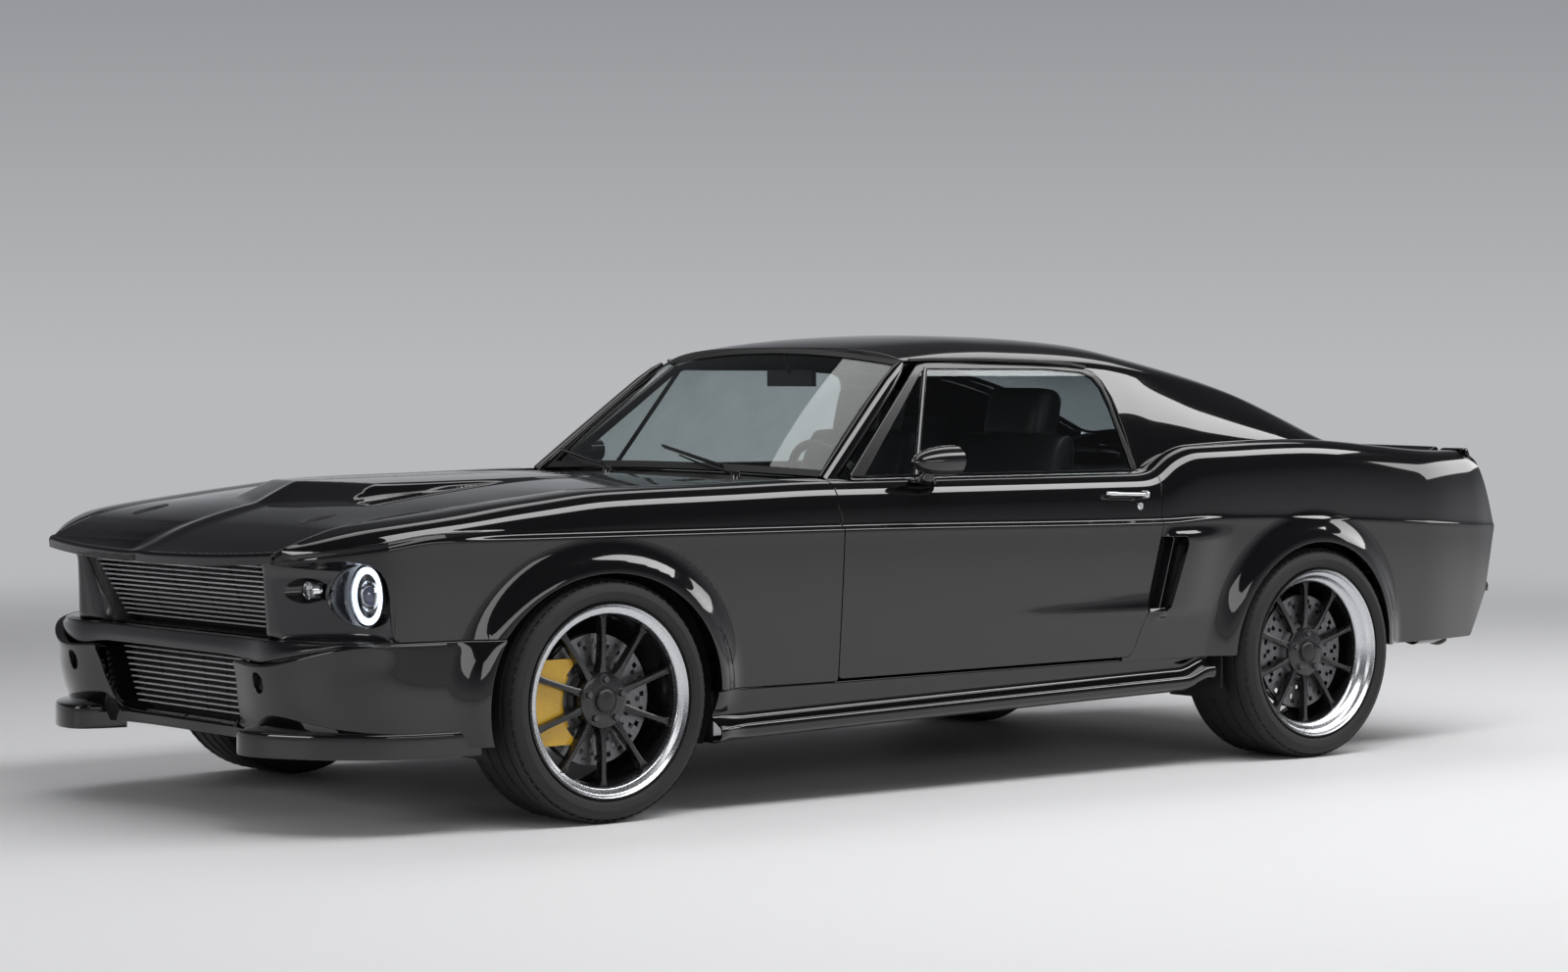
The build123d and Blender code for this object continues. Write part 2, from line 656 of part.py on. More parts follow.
SCOOP_FRONT_X = FRONT_AXLE_X + 372
SCOOP_BASE_X = FRONT_AXLE_X + 549
SCOOP_HALF = 300
with BuildPart() as hood_skin:
    for x in HOOD_STATIONS:
        half = hood_half(x)
        middle = hood_z(x)
        edge = hood_edge_z(x)
        top = [(y * half, edge + (middle - edge) * (1 - abs(y) ** 2.2))
               for y in (-1, -0.75, -0.4, 0, 0.4, 0.75, 1)]
        under = [(y, z - HOOD_DROP - 8) for y, z in reversed(top)]
        with BuildSketch(Plane.YZ.offset(x)):
            with BuildLine():
                Spline(top)
                Line(top[-1], under[0])
                Spline(under)
                Line(under[-1], top[0])
            make_face()
    loft()
scoop_rear = HOOD_REAR_X + 50
with BuildPart() as hood:
    add(hood_skin.part)
    with BuildSketch(Plane.XZ.offset(-SCOOP_HALF)):
        with BuildLine():
            Polyline((scoop_rear, BELT_HEIGHT - 12), (scoop_rear, BELT_HEIGHT + 9),
                     (SCOOP_FRONT_X, BELT_HEIGHT + 1), (SCOOP_BASE_X, BELT_HEIGHT - 55),
                     (FRONT_AXLE_X, BELT_HEIGHT - 26), close=True)
        make_face()
    extrude(amount=2 * SCOOP_HALF)
save(main_solid(hood.part), "bonnet")

# ---- nose: brow, lamp bowls and the mouth for the grille ----------------------------------
MOUTH_TOP_HALF = 516
MOUTH_FOOT_HALF = 443
MOUTH_TOP = NOSE_LIP_Z - 36
MOUTH_FOOT = 520
SMALL_LAMP_Y = 600
SMALL_LAMP_Z = 641
SMALL_LAMP_RADIUS = 42
SMALL_LAMP_X = NOSE_X - 156
NOSE_WALL = 70
BROW_TOP = NOSE_LIP_Z - 34

lamp_face = [(NOSE_X - 108, 470), (NOSE_X - 122, 540), (NOSE_X - 190, 700),
             (FENDER_FRONT_X + 22, 820), (FENDER_FRONT_X, 840)]
inner_face = [(FENDER_FRONT_X, 770), (NOSE_X - 300, 700), (NOSE_X - 240, 540),
              (NOSE_X - 200, 470)]
with BuildPart() as nose_side:
    low = [(x - 46 if x > FENDER_FRONT_X + 1 else x, y) for x, y in lamp_face] + inner_face
    add(plan_loft(low, VALANCE_TOP + 40, lamp_face + inner_face, BROW_TOP - 24))
    for x, y_out, low_z, y_in in (
        (FENDER_FRONT_X, 840, BROW_TOP - 30, 640), (NOSE_X - 165, 760, BROW_TOP - 30, 632),
        (NOSE_X - 85, 640, BROW_TOP - 20, 616),
    ):
        top = belt_z(x)
        with BuildSketch(Plane.YZ.offset(x)):
            with BuildLine():
                Polyline((y_in, low_z), (y_out - 6, low_z), (y_out, low_z + 24),
                         (y_out - (y_out - y_in) * 0.3, top - 8), (y_in, top + 2), close=True)
            make_face()
    loft(ruled=True)
with BuildPart() as nose:
    add(nose_side.part)
    mirror(nose_side.part, about=Plane.XZ)
    add(plan_prism(both_sides([
        (NOSE_X - 6, 0), (NOSE_X - 18, 300), (NOSE_X - 66, 560), (NOSE_X - 150, 700),
        (FENDER_FRONT_X, 835), (FENDER_FRONT_X, 640), (NOSE_X - 240, 560), (NOSE_X - 200, 0),
    ]), BROW_TOP - 30, BROW_TOP))
    with BuildSketch(Plane.YZ.offset(NOSE_X - 320)):
        with BuildLine():
            Polyline((-MOUTH_TOP_HALF, MOUTH_TOP), (MOUTH_TOP_HALF, MOUTH_TOP),
                     (MOUTH_FOOT_HALF, MOUTH_FOOT - 30), (-MOUTH_FOOT_HALF, MOUTH_FOOT - 30),
                     close=True)
        make_face()
    extrude(amount=500, mode=Mode.SUBTRACT)
    for side in (1, -1):
        for x, y, z, radius in ((LAMP_X - 60, LAMP_Y, LAMP_Z, LAMP_RADIUS + 6),
                                (SMALL_LAMP_X - 60, SMALL_LAMP_Y, SMALL_LAMP_Z,
                                 SMALL_LAMP_RADIUS + 4)):
            with BuildSketch(Plane.YZ.offset(x)):
                with Locations((side * y, z)):
                    Circle(radius)
            extrude(amount=400, mode=Mode.SUBTRACT)
    add(hood.part, mode=Mode.SUBTRACT)
    add(fender_body, mode=Mode.SUBTRACT)
    mirror(fender_body, about=Plane.XZ, mode=Mode.SUBTRACT)
save(main_solid(nose.part), "nose_panel")

# ---- lamps in the nose --------------------------------------------------------------------
with BuildPart() as front_lamps:
    for side in (1, -1):
        with BuildSketch(Plane.YZ.offset(LAMP_X - 60)):
            with Locations((side * LAMP_Y, LAMP_Z)):
                Circle(LAMP_RADIUS + 6)
        extrude(amount=40)
        with BuildSketch(Plane.YZ.offset(LAMP_X - 20)):
            with Locations((side * LAMP_Y, LAMP_Z)):
                Circle(LAMP_RADIUS)
        extrude(amount=24)
        with BuildSketch(Plane.YZ.offset(SMALL_LAMP_X - 60)):
            with Locations((side * SMALL_LAMP_Y, SMALL_LAMP_Z)):
                Circle(SMALL_LAMP_RADIUS + 4)
        extrude(amount=40)
        with BuildSketch(Plane.YZ.offset(SMALL_LAMP_X - 20)):
            with Locations((side * SMALL_LAMP_Y, SMALL_LAMP_Z)):
                Circle(SMALL_LAMP_RADIUS - 8)
        extrude(amount=22)
save(front_lamps.part, "front_lamps")

# ---- front valance with the lower mouth and its lip ----------------------------------------
VALANCE_FOOT = 236
LIP_FOOT = 205
LOWER_MOUTH_HALF = 376
VALANCE_REAR_X = FRONT_AXLE_X + 485
valance_high = [(NOSE_X - 76, 0), (NOSE_X - 86, 380), (NOSE_X - 104, 560),
                (NOSE_X - 170, 740), (FENDER_FRONT_X, 846), (VALANCE_REAR_X, 862)]
valance_low = [(NOSE_X - 165, 0), (NOSE_X - 172, 250), (NOSE_X - 155, 500),
               (NOSE_X - 215, 740), (FENDER_FRONT_X - 20, 836), (VALANCE_REAR_X, 856)]
valance_back = [(VALANCE_REAR_X, 790), (FENDER_FRONT_X - 60, 770), (NOSE_X - 290, 640),
                (NOSE_X - 240, 380), (NOSE_X - 240, 0)]
with BuildPart() as valance:
    add(plan_loft(valance_low + valance_back, VALANCE_FOOT, valance_high + valance_back,
                  VALANCE_TOP))
    mirror(valance.part, about=Plane.XZ)
    with BuildSketch(Plane.YZ.offset(NOSE_X - 320)):
        with BuildLine():
            Polyline((-LOWER_MOUTH_HALF, VALANCE_TOP - 25),
                     (LOWER_MOUTH_HALF, VALANCE_TOP - 25), (336, VALANCE_FOOT + 81),
                     (250, VALANCE_FOOT + 30), (-250, VALANCE_FOOT + 30),
                     (-336, VALANCE_FOOT + 81), close=True)
        make_face()
    extrude(amount=400, mode=Mode.SUBTRACT)
    add(arch_hole(FRONT_AXLE_X, FRONT_ARCH), mode=Mode.SUBTRACT)
    mirror(arch_hole(FRONT_AXLE_X, FRONT_ARCH), about=Plane.XZ, mode=Mode.SUBTRACT)
    lip_plan = [(NOSE_X - 145, 268), (NOSE_X - 48, 500), (NOSE_X - 150, 760),
                (FENDER_FRONT_X - 20, 848), (FENDER_FRONT_X - 60, 780), (NOSE_X - 220, 640),
                (NOSE_X - 220, 268)]
    add(plan_prism(lip_plan, LIP_FOOT, VALANCE_FOOT + 6))
    mirror(plan_prism(lip_plan, LIP_FOOT, VALANCE_FOOT + 6), about=Plane.XZ)
save(main_solid(valance.part), "front_valance")

# ---- slim bumper between nose and valance ---------------------------------------------------
with BuildPart() as bumper:
    blade = both_sides([(NOSE_X - 60, 0), (NOSE_X - 72, 380), (NOSE_X - 90, 560),
                        (NOSE_X - 155, 730), (FENDER_FRONT_X + 4, 848),
                        (FENDER_FRONT_X + 4, 780), (NOSE_X - 260, 640), (NOSE_X - 230, 0)])
    add(plan_prism(blade, VALANCE_TOP, VALANCE_TOP + 40))
    add(nose.part, mode=Mode.SUBTRACT)
    add(fender_body, mode=Mode.SUBTRACT)
    mirror(fender_body, about=Plane.XZ, mode=Mode.SUBTRACT)
save(main_solid(bumper.part), "front_bumper")

# ---- grilles ------------------------------------------------------------------------------
BAR_HEIGHT = 5
GRILLE_SET_BACK = 62


def bar_stack(count, low, high, z_low, z_high):
    """Level bars between two (x, half width) rows, held by three uprights behind them."""
    with BuildPart() as stack:
        for i in range(count):
            t = (i + 0.5) / count
            x = low[0] + (high[0] - low[0]) * t
            half = low[1] + (high[1] - low[1]) * t
            with Locations((x, 0, z_low + (z_high - z_low) * t)):
                Box(14, 2 * half, BAR_HEIGHT)
        for y in (-0.82 * low[1], 0, 0.82 * low[1]):
            with BuildSketch(Plane.XZ.offset(-y - 3)):
                with BuildLine():
                    Polyline((low[0] - 14, z_low), (low[0] + 2, z_low),
                             (high[0] + 2, z_high), (high[0] - 14, z_high), close=True)
                make_face()
            extrude(amount=6)
    return stack.part


with BuildPart() as grilles:
    add(bar_stack(12, (NOSE_X - 150 - GRILLE_SET_BACK, MOUTH_FOOT_HALF - 8),
                  (NOSE_X - 70 - GRILLE_SET_BACK, MOUTH_TOP_HALF - 14), VALANCE_TOP + 40,
                  BROW_TOP - 30))
    add(bar_stack(10, (NOSE_X - 185, 236), (NOSE_X - 150, LOWER_MOUTH_HALF - 22),
                  VALANCE_FOOT + 31, VALANCE_TOP - 27))
save(grilles.part, "grilles")

# ---- boot lid with its spoiler, tail panel and rear bumper --------------------------------
DECK_REAR_X = TAIL_X + 128
SPOILER_Z = BELT_HEIGHT + 58
LID_THICK = 22


def deck_z(x):
    return follow(x, [(DECK_REAR_X, BELT_HEIGHT + 44), (DECK_REAR_X + 100, BELT_HEIGHT + 34),
                      (DECK_REAR_X + 240, BELT_HEIGHT + 54), (DECK_FRONT_X, BELT_HEIGHT + 72)])


with BuildPart() as boot_lid:
    with BuildSketch(Plane.XZ.offset(-DECK_HALF)):
        with BuildLine():
            top = [(x, deck_z(x)) for x in
                   (DECK_FRONT_X, DECK_REAR_X + 340, DECK_REAR_X + 200, DECK_REAR_X + 90)]
            Spline(top)
            Polyline(top[-1], (DECK_REAR_X + 10, SPOILER_Z), (DECK_REAR_X - 12, SPOILER_Z - 6),
                     (DECK_REAR_X - 4, BELT_HEIGHT), (DECK_REAR_X + 60, BELT_HEIGHT + 2),
                     (DECK_FRONT_X, deck_z(DECK_FRONT_X) - LID_THICK), top[0])
        make_face()
    extrude(amount=2 * DECK_HALF)
save(boot_lid.part, "boot_lid")

with BuildPart() as tulip:
    add(box_between((DECK_FRONT_X + SHUT_GAP, BACKLIGHT_BASE_X - 2), (-DECK_HALF, DECK_HALF),
                    (BELT_HEIGHT + 40, BELT_HEIGHT + 72)))
    add(rear_glass.part, mode=Mode.SUBTRACT)
    add(quarter_body, mode=Mode.SUBTRACT)
    mirror(quarter_body, about=Plane.XZ, mode=Mode.SUBTRACT)
save(main_solid(tulip.part), "deck_panel")

TAIL_TOP = BELT_HEIGHT - SHUT_GAP
TAIL_LOW = BELT_HEIGHT - 425
with BuildPart() as tail:
    with BuildSketch(Plane.XZ.offset(-742)):
        with BuildLine():
            Polyline((TAIL_X + 90, TAIL_TOP), (TAIL_X + 14, BELT_HEIGHT - 208),
                     (TAIL_X + 14, TAIL_LOW), (TAIL_X + 66, TAIL_LOW),
                     (TAIL_X + 66, BELT_HEIGHT - 208), (TAIL_X + 142, TAIL_TOP), close=True)
        make_face()
    extrude(amount=2 * 742)
    add(quarter_body, mode=Mode.SUBTRACT)
    mirror(quarter_body, about=Plane.XZ, mode=Mode.SUBTRACT)
save(main_solid(tail.part), "tail_panel")

with BuildPart() as rear_bumper:
    plan_low = both_sides([(TAIL_X + 100, 0), (TAIL_X + 108, 500), (TAIL_X + 150, 740),
                           (TAIL_X + 300, 740), (TAIL_X + 260, 0)])
    plan_high = both_sides([(TAIL_X, 0), (TAIL_X + 10, 500), (TAIL_X + 60, 760),
                            (TAIL_X + 300, 760), (TAIL_X + 260, 0)])
    add(plan_loft(plan_low, SILL_HEIGHT - 40, plan_high, TAIL_LOW))
    add(quarter_body, mode=Mode.SUBTRACT)
    mirror(quarter_body, about=Plane.XZ, mode=Mode.SUBTRACT)
save(main_solid(rear_bumper.part), "rear_bumper")

with BuildPart() as tail_lamps:
    for side in (1, -1):
        for i in range(3):
            with Locations((TAIL_X + 8, side * (480 + 75 * i), BELT_HEIGHT - 290)):
                Box(12, 56, 130)
save(tail_lamps.part, "tail_lamps")

# ---- side skirts --------------------------------------------------------------------------
SKIRT_FRONT_X = FRONT_AXLE_X - 400
SKIRT_REAR_X = REAR_AXLE_X + 440
with BuildPart() as skirt:
    for x in (SKIRT_FRONT_X, DOOR_FRONT_X - 400, SKIRT_REAR_X):
        t = (x - SKIRT_REAR_X) / (SKIRT_FRONT_X - SKIRT_REAR_X)
        foot = 236 - 46 * t
        with BuildSketch(Plane.YZ.offset(x)):
            with BuildLine():
                Polyline((700, SILL_TOP), (HALF_WIDTH - 32, SILL_TOP),
                         (HALF_WIDTH - 34, SILL_TOP - 54), (HALF_WIDTH - 4, foot + 40),
                         (HALF_WIDTH + 4, foot + 26), (HALF_WIDTH - 20, foot), (700, foot),
                         close=True)
            make_face()
    loft(ruled=True)
    add(arch_hole(FRONT_AXLE_X, FRONT_ARCH), mode=Mode.SUBTRACT)
    add(arch_hole(REAR_AXLE_X, REAR_ARCH), mode=Mode.SUBTRACT)
save_pair(main_solid(skirt.part), "side_skirt")

# ---- floor, rails and bulkheads -----------------------------------------------------------
ARM_HALF = 32
ARM_LIFT = 128
BOOT_FLOOR_Z = 470
HEEL_X = REAR_AXLE_X + 470


def wheel_house(x, radius, y_in, y_out, wall, low_z):
    """Half-round liner over a wheel, closed on its inner side."""
    with BuildPart() as house:
        with BuildSketch(Plane.XZ.offset(-y_in)):
            with Locations((x, HUB_Z)):
                Circle(radius + wall)
                Circle(radius, mode=Mode.SUBTRACT)
        extrude(amount=-(y_out - y_in))
        with BuildSketch(Plane.XZ.offset(-y_in)):
            with Locations((x, HUB_Z)):
                Circle(radius + wall)
        extrude(amount=-wall)
        add(box_between((x - 600, x + 600), (0, OUTSIDE_Y), (-300, low_z)),
            mode=Mode.SUBTRACT)
    return house.part


HOUSE_WALL = 8
front_house = wheel_house(FRONT_AXLE_X, HOUSE_RADIUS, 460 - HOUSE_WALL, 780, HOUSE_WALL,
                          HUB_Z + ARM_LIFT + 40)
rear_house = wheel_house(REAR_AXLE_X, 376, 580, 780, HOUSE_WALL, BOOT_FLOOR_Z)
with BuildPart() as floor:
    add(box_between((HEEL_X, FIREWALL_X + 20), (-698, 698), (FLOOR_Z, FLOOR_Z + PANEL)))
    add(box_between((HEEL_X, FIREWALL_X), (-110, 110), (FLOOR_Z + PANEL, FLOOR_Z + 150)))
    add(box_between((HEEL_X - PANEL, HEEL_X), (-600, 600), (FLOOR_Z, BOOT_FLOOR_Z + PANEL)))
    add(box_between((TAIL_X + 160, HEEL_X), (-600, 600),
                    (BOOT_FLOOR_Z, BOOT_FLOOR_Z + PANEL)))
    add(box_between((TAIL_X + 160, REAR_AXLE_X - 400), (-720, 720),
                    (BOOT_FLOOR_Z, BOOT_FLOOR_Z + PANEL)))
    for side in (1, -1):
        for house in (front_house, rear_house):
            if side > 0:
                add(house)
            else:
                mirror(house, about=Plane.XZ)
        add(box_between((FIREWALL_X, NOSE_X - 300), sorted((side * 380, side * 460)),
                        (FLOOR_Z + 40, FLOOR_Z + 140)))
        add(box_between((FRONT_AXLE_X - 300, FRONT_AXLE_X + 300),
                        sorted((side * 444, side * 456)),
                        (FLOOR_Z + 120, HUB_Z + ARM_LIFT + 60)))
        add(box_between((FIREWALL_X, FIREWALL_X + 60), sorted((side * 340, side * 500)),
                        (FLOOR_Z, FLOOR_Z + 140)))
    add(cowl_body, mode=Mode.SUBTRACT)
    add(rear_bumper.part, mode=Mode.SUBTRACT)
save(main_solid(floor.part), "floor_pan")

# ---- power unit and axles -----------------------------------------------------------------
with BuildPart() as engine:
    add(box_between((FRONT_AXLE_X - 420, FRONT_AXLE_X + 250), (-250, 250),
                    (FLOOR_Z + 60, BELT_HEIGHT - 130)))
save(engine.part, "power_unit")

with BuildPart() as front_axle:
    with Locations((FRONT_AXLE_X, 0, FLOOR_Z + 20)):
        Box(120, 920, 40)
    for side in (1, -1):
        for z in (HUB_Z - ARM_LIFT, HUB_Z + ARM_LIFT):
            add(box_between((FRONT_AXLE_X - ARM_HALF, FRONT_AXLE_X + ARM_HALF),
                            sorted((side * 460, side * KINGPIN_Y)), (z - 12, z + 12)))
            with Locations((FRONT_AXLE_X, side * KINGPIN_Y, z)):
                Cylinder(ARM_HALF, 24)
        add(box_between((FRONT_AXLE_X - ARM_HALF, FRONT_AXLE_X + ARM_HALF),
                        sorted((side * 460, side * 480)),
                        (HUB_Z - ARM_LIFT - 12, HUB_Z + ARM_LIFT + 12)))
    add(floor.part, mode=Mode.SUBTRACT)
save(main_solid(front_axle.part), "front_suspension")

HUB_FACE_Y = 862
DISC_Y = 815
DISC_THICK = 30
SPINDLE_RADIUS = 26
SPINDLE_END_Y = DISC_Y + 30
SPRING_Y = 520
with BuildPart() as rear_axle:
    with Locations((REAR_AXLE_X, 0, HUB_Z)):
        Cylinder(40, 1480, rotation=(90, 0, 0))
        Cylinder(SPINDLE_RADIUS, 2 * SPINDLE_END_Y, rotation=(90, 0, 0))
        Sphere(125)
    for side in (1, -1):
        add(box_between((REAR_AXLE_X - 620, REAR_AXLE_X + 430),
                        sorted((side * (SPRING_Y - 30), side * (SPRING_Y + 30))),
                        (HUB_Z - 62, HUB_Z - 34)))
        for x in (REAR_AXLE_X - 600, REAR_AXLE_X + 400):
            add(box_between((x - 15, x + 15),
                            sorted((side * (SPRING_Y - 20), side * (SPRING_Y + 20))),
                            (HUB_Z - 40, BOOT_FLOOR_Z)))
save(rear_axle.part, "rear_axle")

with BuildPart() as knuckle:
    with Locations((FRONT_AXLE_X, KINGPIN_Y, HUB_Z)):
        Cylinder(26, 2 * (ARM_LIFT - 12 - RUNNING_GAP))
    add(box_between((FRONT_AXLE_X - 34, FRONT_AXLE_X + 34), (KINGPIN_Y - 10, 770),
                    (HUB_Z - 70, HUB_Z + 70)))
    with Locations((FRONT_AXLE_X, (770 + SPINDLE_END_Y) / 2, HUB_Z)):
        Cylinder(SPINDLE_RADIUS, SPINDLE_END_Y - 770, rotation=(90, 0, 0))
    with BuildSketch(Plane.XZ.offset(-(DISC_Y - 45))):
        with Locations((FRONT_AXLE_X, HUB_Z)):
            Circle(222)
            Circle(128, mode=Mode.SUBTRACT)
            with Locations((175, 0)):
                Rectangle(180, 230, mode=Mode.INTERSECT)
    extrude(amount=-83)
    with Locations((FRONT_AXLE_X, DISC_Y, HUB_Z)):
        Cylinder(DISC_RADIUS + RUNNING_GAP, DISC_THICK + 2 * RUNNING_GAP,
                 rotation=(90, 0, 0), mode=Mode.SUBTRACT)
    with Locations((FRONT_AXLE_X, DISC_Y, HUB_Z)):
        Cylinder(SPINDLE_RADIUS, 2 * (SPINDLE_END_Y - DISC_Y), rotation=(90, 0, 0))
    add(box_between((FRONT_AXLE_X + 20, FRONT_AXLE_X + 160), (740, 770),
                    (HUB_Z - 60, HUB_Z + 60)))
save_pair(main_solid(knuckle.part), "knuckle")

# ---- wheels -------------------------------------------------------------------------------
RIM_FACE_Y = TYRE_FACE_Y - 8
LIP_STEP = 18
BARREL_RADIUS = 232


def tyre(x, width):
    """Tyre as a solid ring on its rim, with rounded shoulders."""
    middle = TYRE_FACE_Y - width / 2
    half = width / 2
    with BuildPart() as ring:
        with BuildSketch(Plane.XY.offset(HUB_Z)):
            with BuildLine():
                Polyline(
                    (x + RIM_SEAT_RADIUS, middle - half + 22),
                    (x + RIM_SEAT_RADIUS + 14, middle - half + 16),
                    (x + RIM_SEAT_RADIUS + 22, middle - half + 4),
                    (x + TYRE_RADIUS - 44, middle - half),
                    (x + TYRE_RADIUS - 10, middle - half + 12),
                    (x + TYRE_RADIUS, middle - half + 34),
                    (x + TYRE_RADIUS, middle + half - 34),
                    (x + TYRE_RADIUS - 10, middle + half - 12),
                    (x + TYRE_RADIUS - 44, middle + half),
                    (x + RIM_SEAT_RADIUS + 22, middle + half - 4),
                    (x + RIM_SEAT_RADIUS + 14, middle + half - 16),
                    (x + RIM_SEAT_RADIUS, middle + half - 22), close=True)
            make_face()
        revolve(axis=Axis((x, 0, HUB_Z), (0, 1, 0)))
    return ring.part


def rim(x, width, dish):
    """Spoked rim with its hub, wheel nuts, cap and brake disc."""
    back = TYRE_FACE_Y - width + 16
    spoke_y = RIM_FACE_Y - dish
    with BuildPart() as wheel:
        with BuildSketch(Plane.XY.offset(HUB_Z)):
            with BuildLine():
                Polyline(
                    (x + RIM_SEAT_RADIUS, back), (x + RIM_SEAT_RADIUS, RIM_FACE_Y - 10),
                    (x + RIM_FLANGE_RADIUS, RIM_FACE_Y - 6), (x + RIM_FLANGE_RADIUS, RIM_FACE_Y),
                    (x + RIM_FLANGE_RADIUS - 8, RIM_FACE_Y),
                    (x + RIM_FLANGE_RADIUS - LIP_STEP, RIM_FACE_Y - LIP_STEP),
                    (x + BARREL_RADIUS + 6, spoke_y), (x + BARREL_RADIUS, spoke_y - 30),
                    (x + BARREL_RADIUS, back), close=True)
            make_face()
        revolve(axis=Axis((x, 0, HUB_Z), (0, 1, 0)))
        with BuildSketch(Plane(origin=(x, spoke_y, HUB_Z), x_dir=(1, 0, 0), z_dir=(0, -1, 0))):
            with PolarLocations((BARREL_RADIUS + 44) / 2, SPOKE_COUNT):
                Rectangle(BARREL_RADIUS - 44 + 6, 19)
        extrude(amount=26)
        with BuildSketch(Plane(origin=(x, spoke_y - 2, HUB_Z), x_dir=(1, 0, 0),
                               z_dir=(0, -1, 0))):
            Circle(80)
        extrude(amount=spoke_y - 2 - DISC_Y + DISC_THICK / 2)
        with BuildSketch(Plane(origin=(x, DISC_Y + DISC_THICK / 2, HUB_Z), x_dir=(1, 0, 0),
                               z_dir=(0, -1, 0))):
            Circle(DISC_RADIUS)
        extrude(amount=DISC_THICK)
        with BuildSketch(Plane(origin=(x, spoke_y - 2, HUB_Z), x_dir=(1, 0, 0),
                               z_dir=(0, 1, 0))):
            Circle(34)
        extrude(amount=16)
        with BuildSketch(Plane(origin=(x, spoke_y - 2, HUB_Z), x_dir=(1, 0, 0),
                               z_dir=(0, 1, 0))):
            with PolarLocations(57, LUG_COUNT):
                RegularPolygon(10, 6)
        extrude(amount=12)
        with Locations((x, SPINDLE_END_Y - 100 + SPINDLE_CLEARANCE, HUB_Z)):
            Cylinder(SPINDLE_RADIUS + SPINDLE_CLEARANCE, 200, rotation=(90, 0, 0),
                     mode=Mode.SUBTRACT)
    return wheel.part


for stem, x, width, dish in (("front", FRONT_AXLE_X, FRONT_TYRE_WIDTH, 30),
                             ("rear", REAR_AXLE_X, REAR_TYRE_WIDTH, 44)):
    save_pair(tyre(x, width), f"tyre_{stem}")
    made = rim(x, width, dish)
    save_pair(made, f"rim_{stem}")

# ---- cabin --------------------------------------------------------------------------------
SEAT_Y = 370
SEAT_X = DOOR_FRONT_X - 930
SEAT_HALF = 250
DASH_X = DOOR_FRONT_X - 60

with BuildPart() as dashboard:
    with BuildSketch(Plane.XZ.offset(-660)):
        with BuildLine():
            Polyline((FIREWALL_X, COWL_Z - 60), (DASH_X - 90, COWL_Z - 34),
                     (DASH_X - 230, COWL_Z - 60), (DASH_X - 250, COWL_Z - 120),
                     (DASH_X - 120, COWL_Z - 230), (FIREWALL_X, COWL_Z - 230), close=True)
        make_face()
    extrude(amount=1320)
save(dashboard.part, "dashboard")

WHEEL_TILT = 22
with BuildPart() as steering:
    hub_plane = Plane(origin=(DASH_X - 310, SEAT_Y, COWL_Z - 60), x_dir=(0, 1, 0),
                      z_dir=(-cos(radians(WHEEL_TILT)), 0, sin(radians(WHEEL_TILT))))
    with BuildSketch(hub_plane):
        Circle(180)
        Circle(156, mode=Mode.SUBTRACT)
        with PolarLocations(83, 3, start_angle=-90):
            Rectangle(160, 22)
        Circle(34)
    extrude(amount=12, both=True)
    with BuildSketch(hub_plane):
        Circle(22)
    extrude(amount=-130)
    add(dashboard.part, mode=Mode.SUBTRACT)
save(main_solid(steering.part), "steering_wheel")


def seat(y):
    """Bucket seat: cushion, leaning back and headrest, from its side outline."""
    with BuildPart() as chair:
        with BuildSketch(Plane.XZ.offset(-y - SEAT_HALF)):
            with BuildLine():
                Polyline((SEAT_X - 60, FLOOR_Z + PANEL), (SEAT_X + 500, FLOOR_Z + PANEL),
                         (SEAT_X + 530, 470), (SEAT_X + 480, 510), (SEAT_X + 120, 470),
                         (SEAT_X - 60, 1000), (SEAT_X - 170, 1000), (SEAT_X - 40, 380),
                         close=True)
            make_face()
        extrude(amount=2 * SEAT_HALF)
        with BuildSketch(Plane.XZ.offset(-y - 125)):
            with BuildLine():
                Polyline((SEAT_X - 76, 990), (SEAT_X - 120, 1160), (SEAT_X - 210, 1160),
                         (SEAT_X - 180, 990), close=True)
            make_face()
        extrude(amount=250)
    return chair.part


with BuildPart() as seats:
    add(seat(SEAT_Y))
    add(seat(-SEAT_Y))
save(seats.part, "front_seats")

REAR_SEAT_X = HEEL_X + 330
with BuildPart() as rear_seat:
    with BuildSketch(Plane.XZ.offset(-590)):
        with BuildLine():
            Polyline((REAR_SEAT_X - 60, FLOOR_Z + 150), (REAR_SEAT_X + 60, FLOOR_Z + 150),
                     (REAR_SEAT_X + 60, 460), (HEEL_X + 90, 480), (HEEL_X - 60, 860),
                     (HEEL_X - 150, 860), (HEEL_X, BOOT_FLOOR_Z + PANEL),
                     (HEEL_X, FLOOR_Z + 150), close=True)
        make_face()
    extrude(amount=1180)
    add(floor.part, mode=Mode.SUBTRACT)
save(main_solid(rear_seat.part), "rear_seat")
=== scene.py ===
"""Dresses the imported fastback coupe: painted shells, glass, lamps, wheels, cabin and studio."""
import math

import bpy
import numpy as np
from mathutils import Matrix, Vector


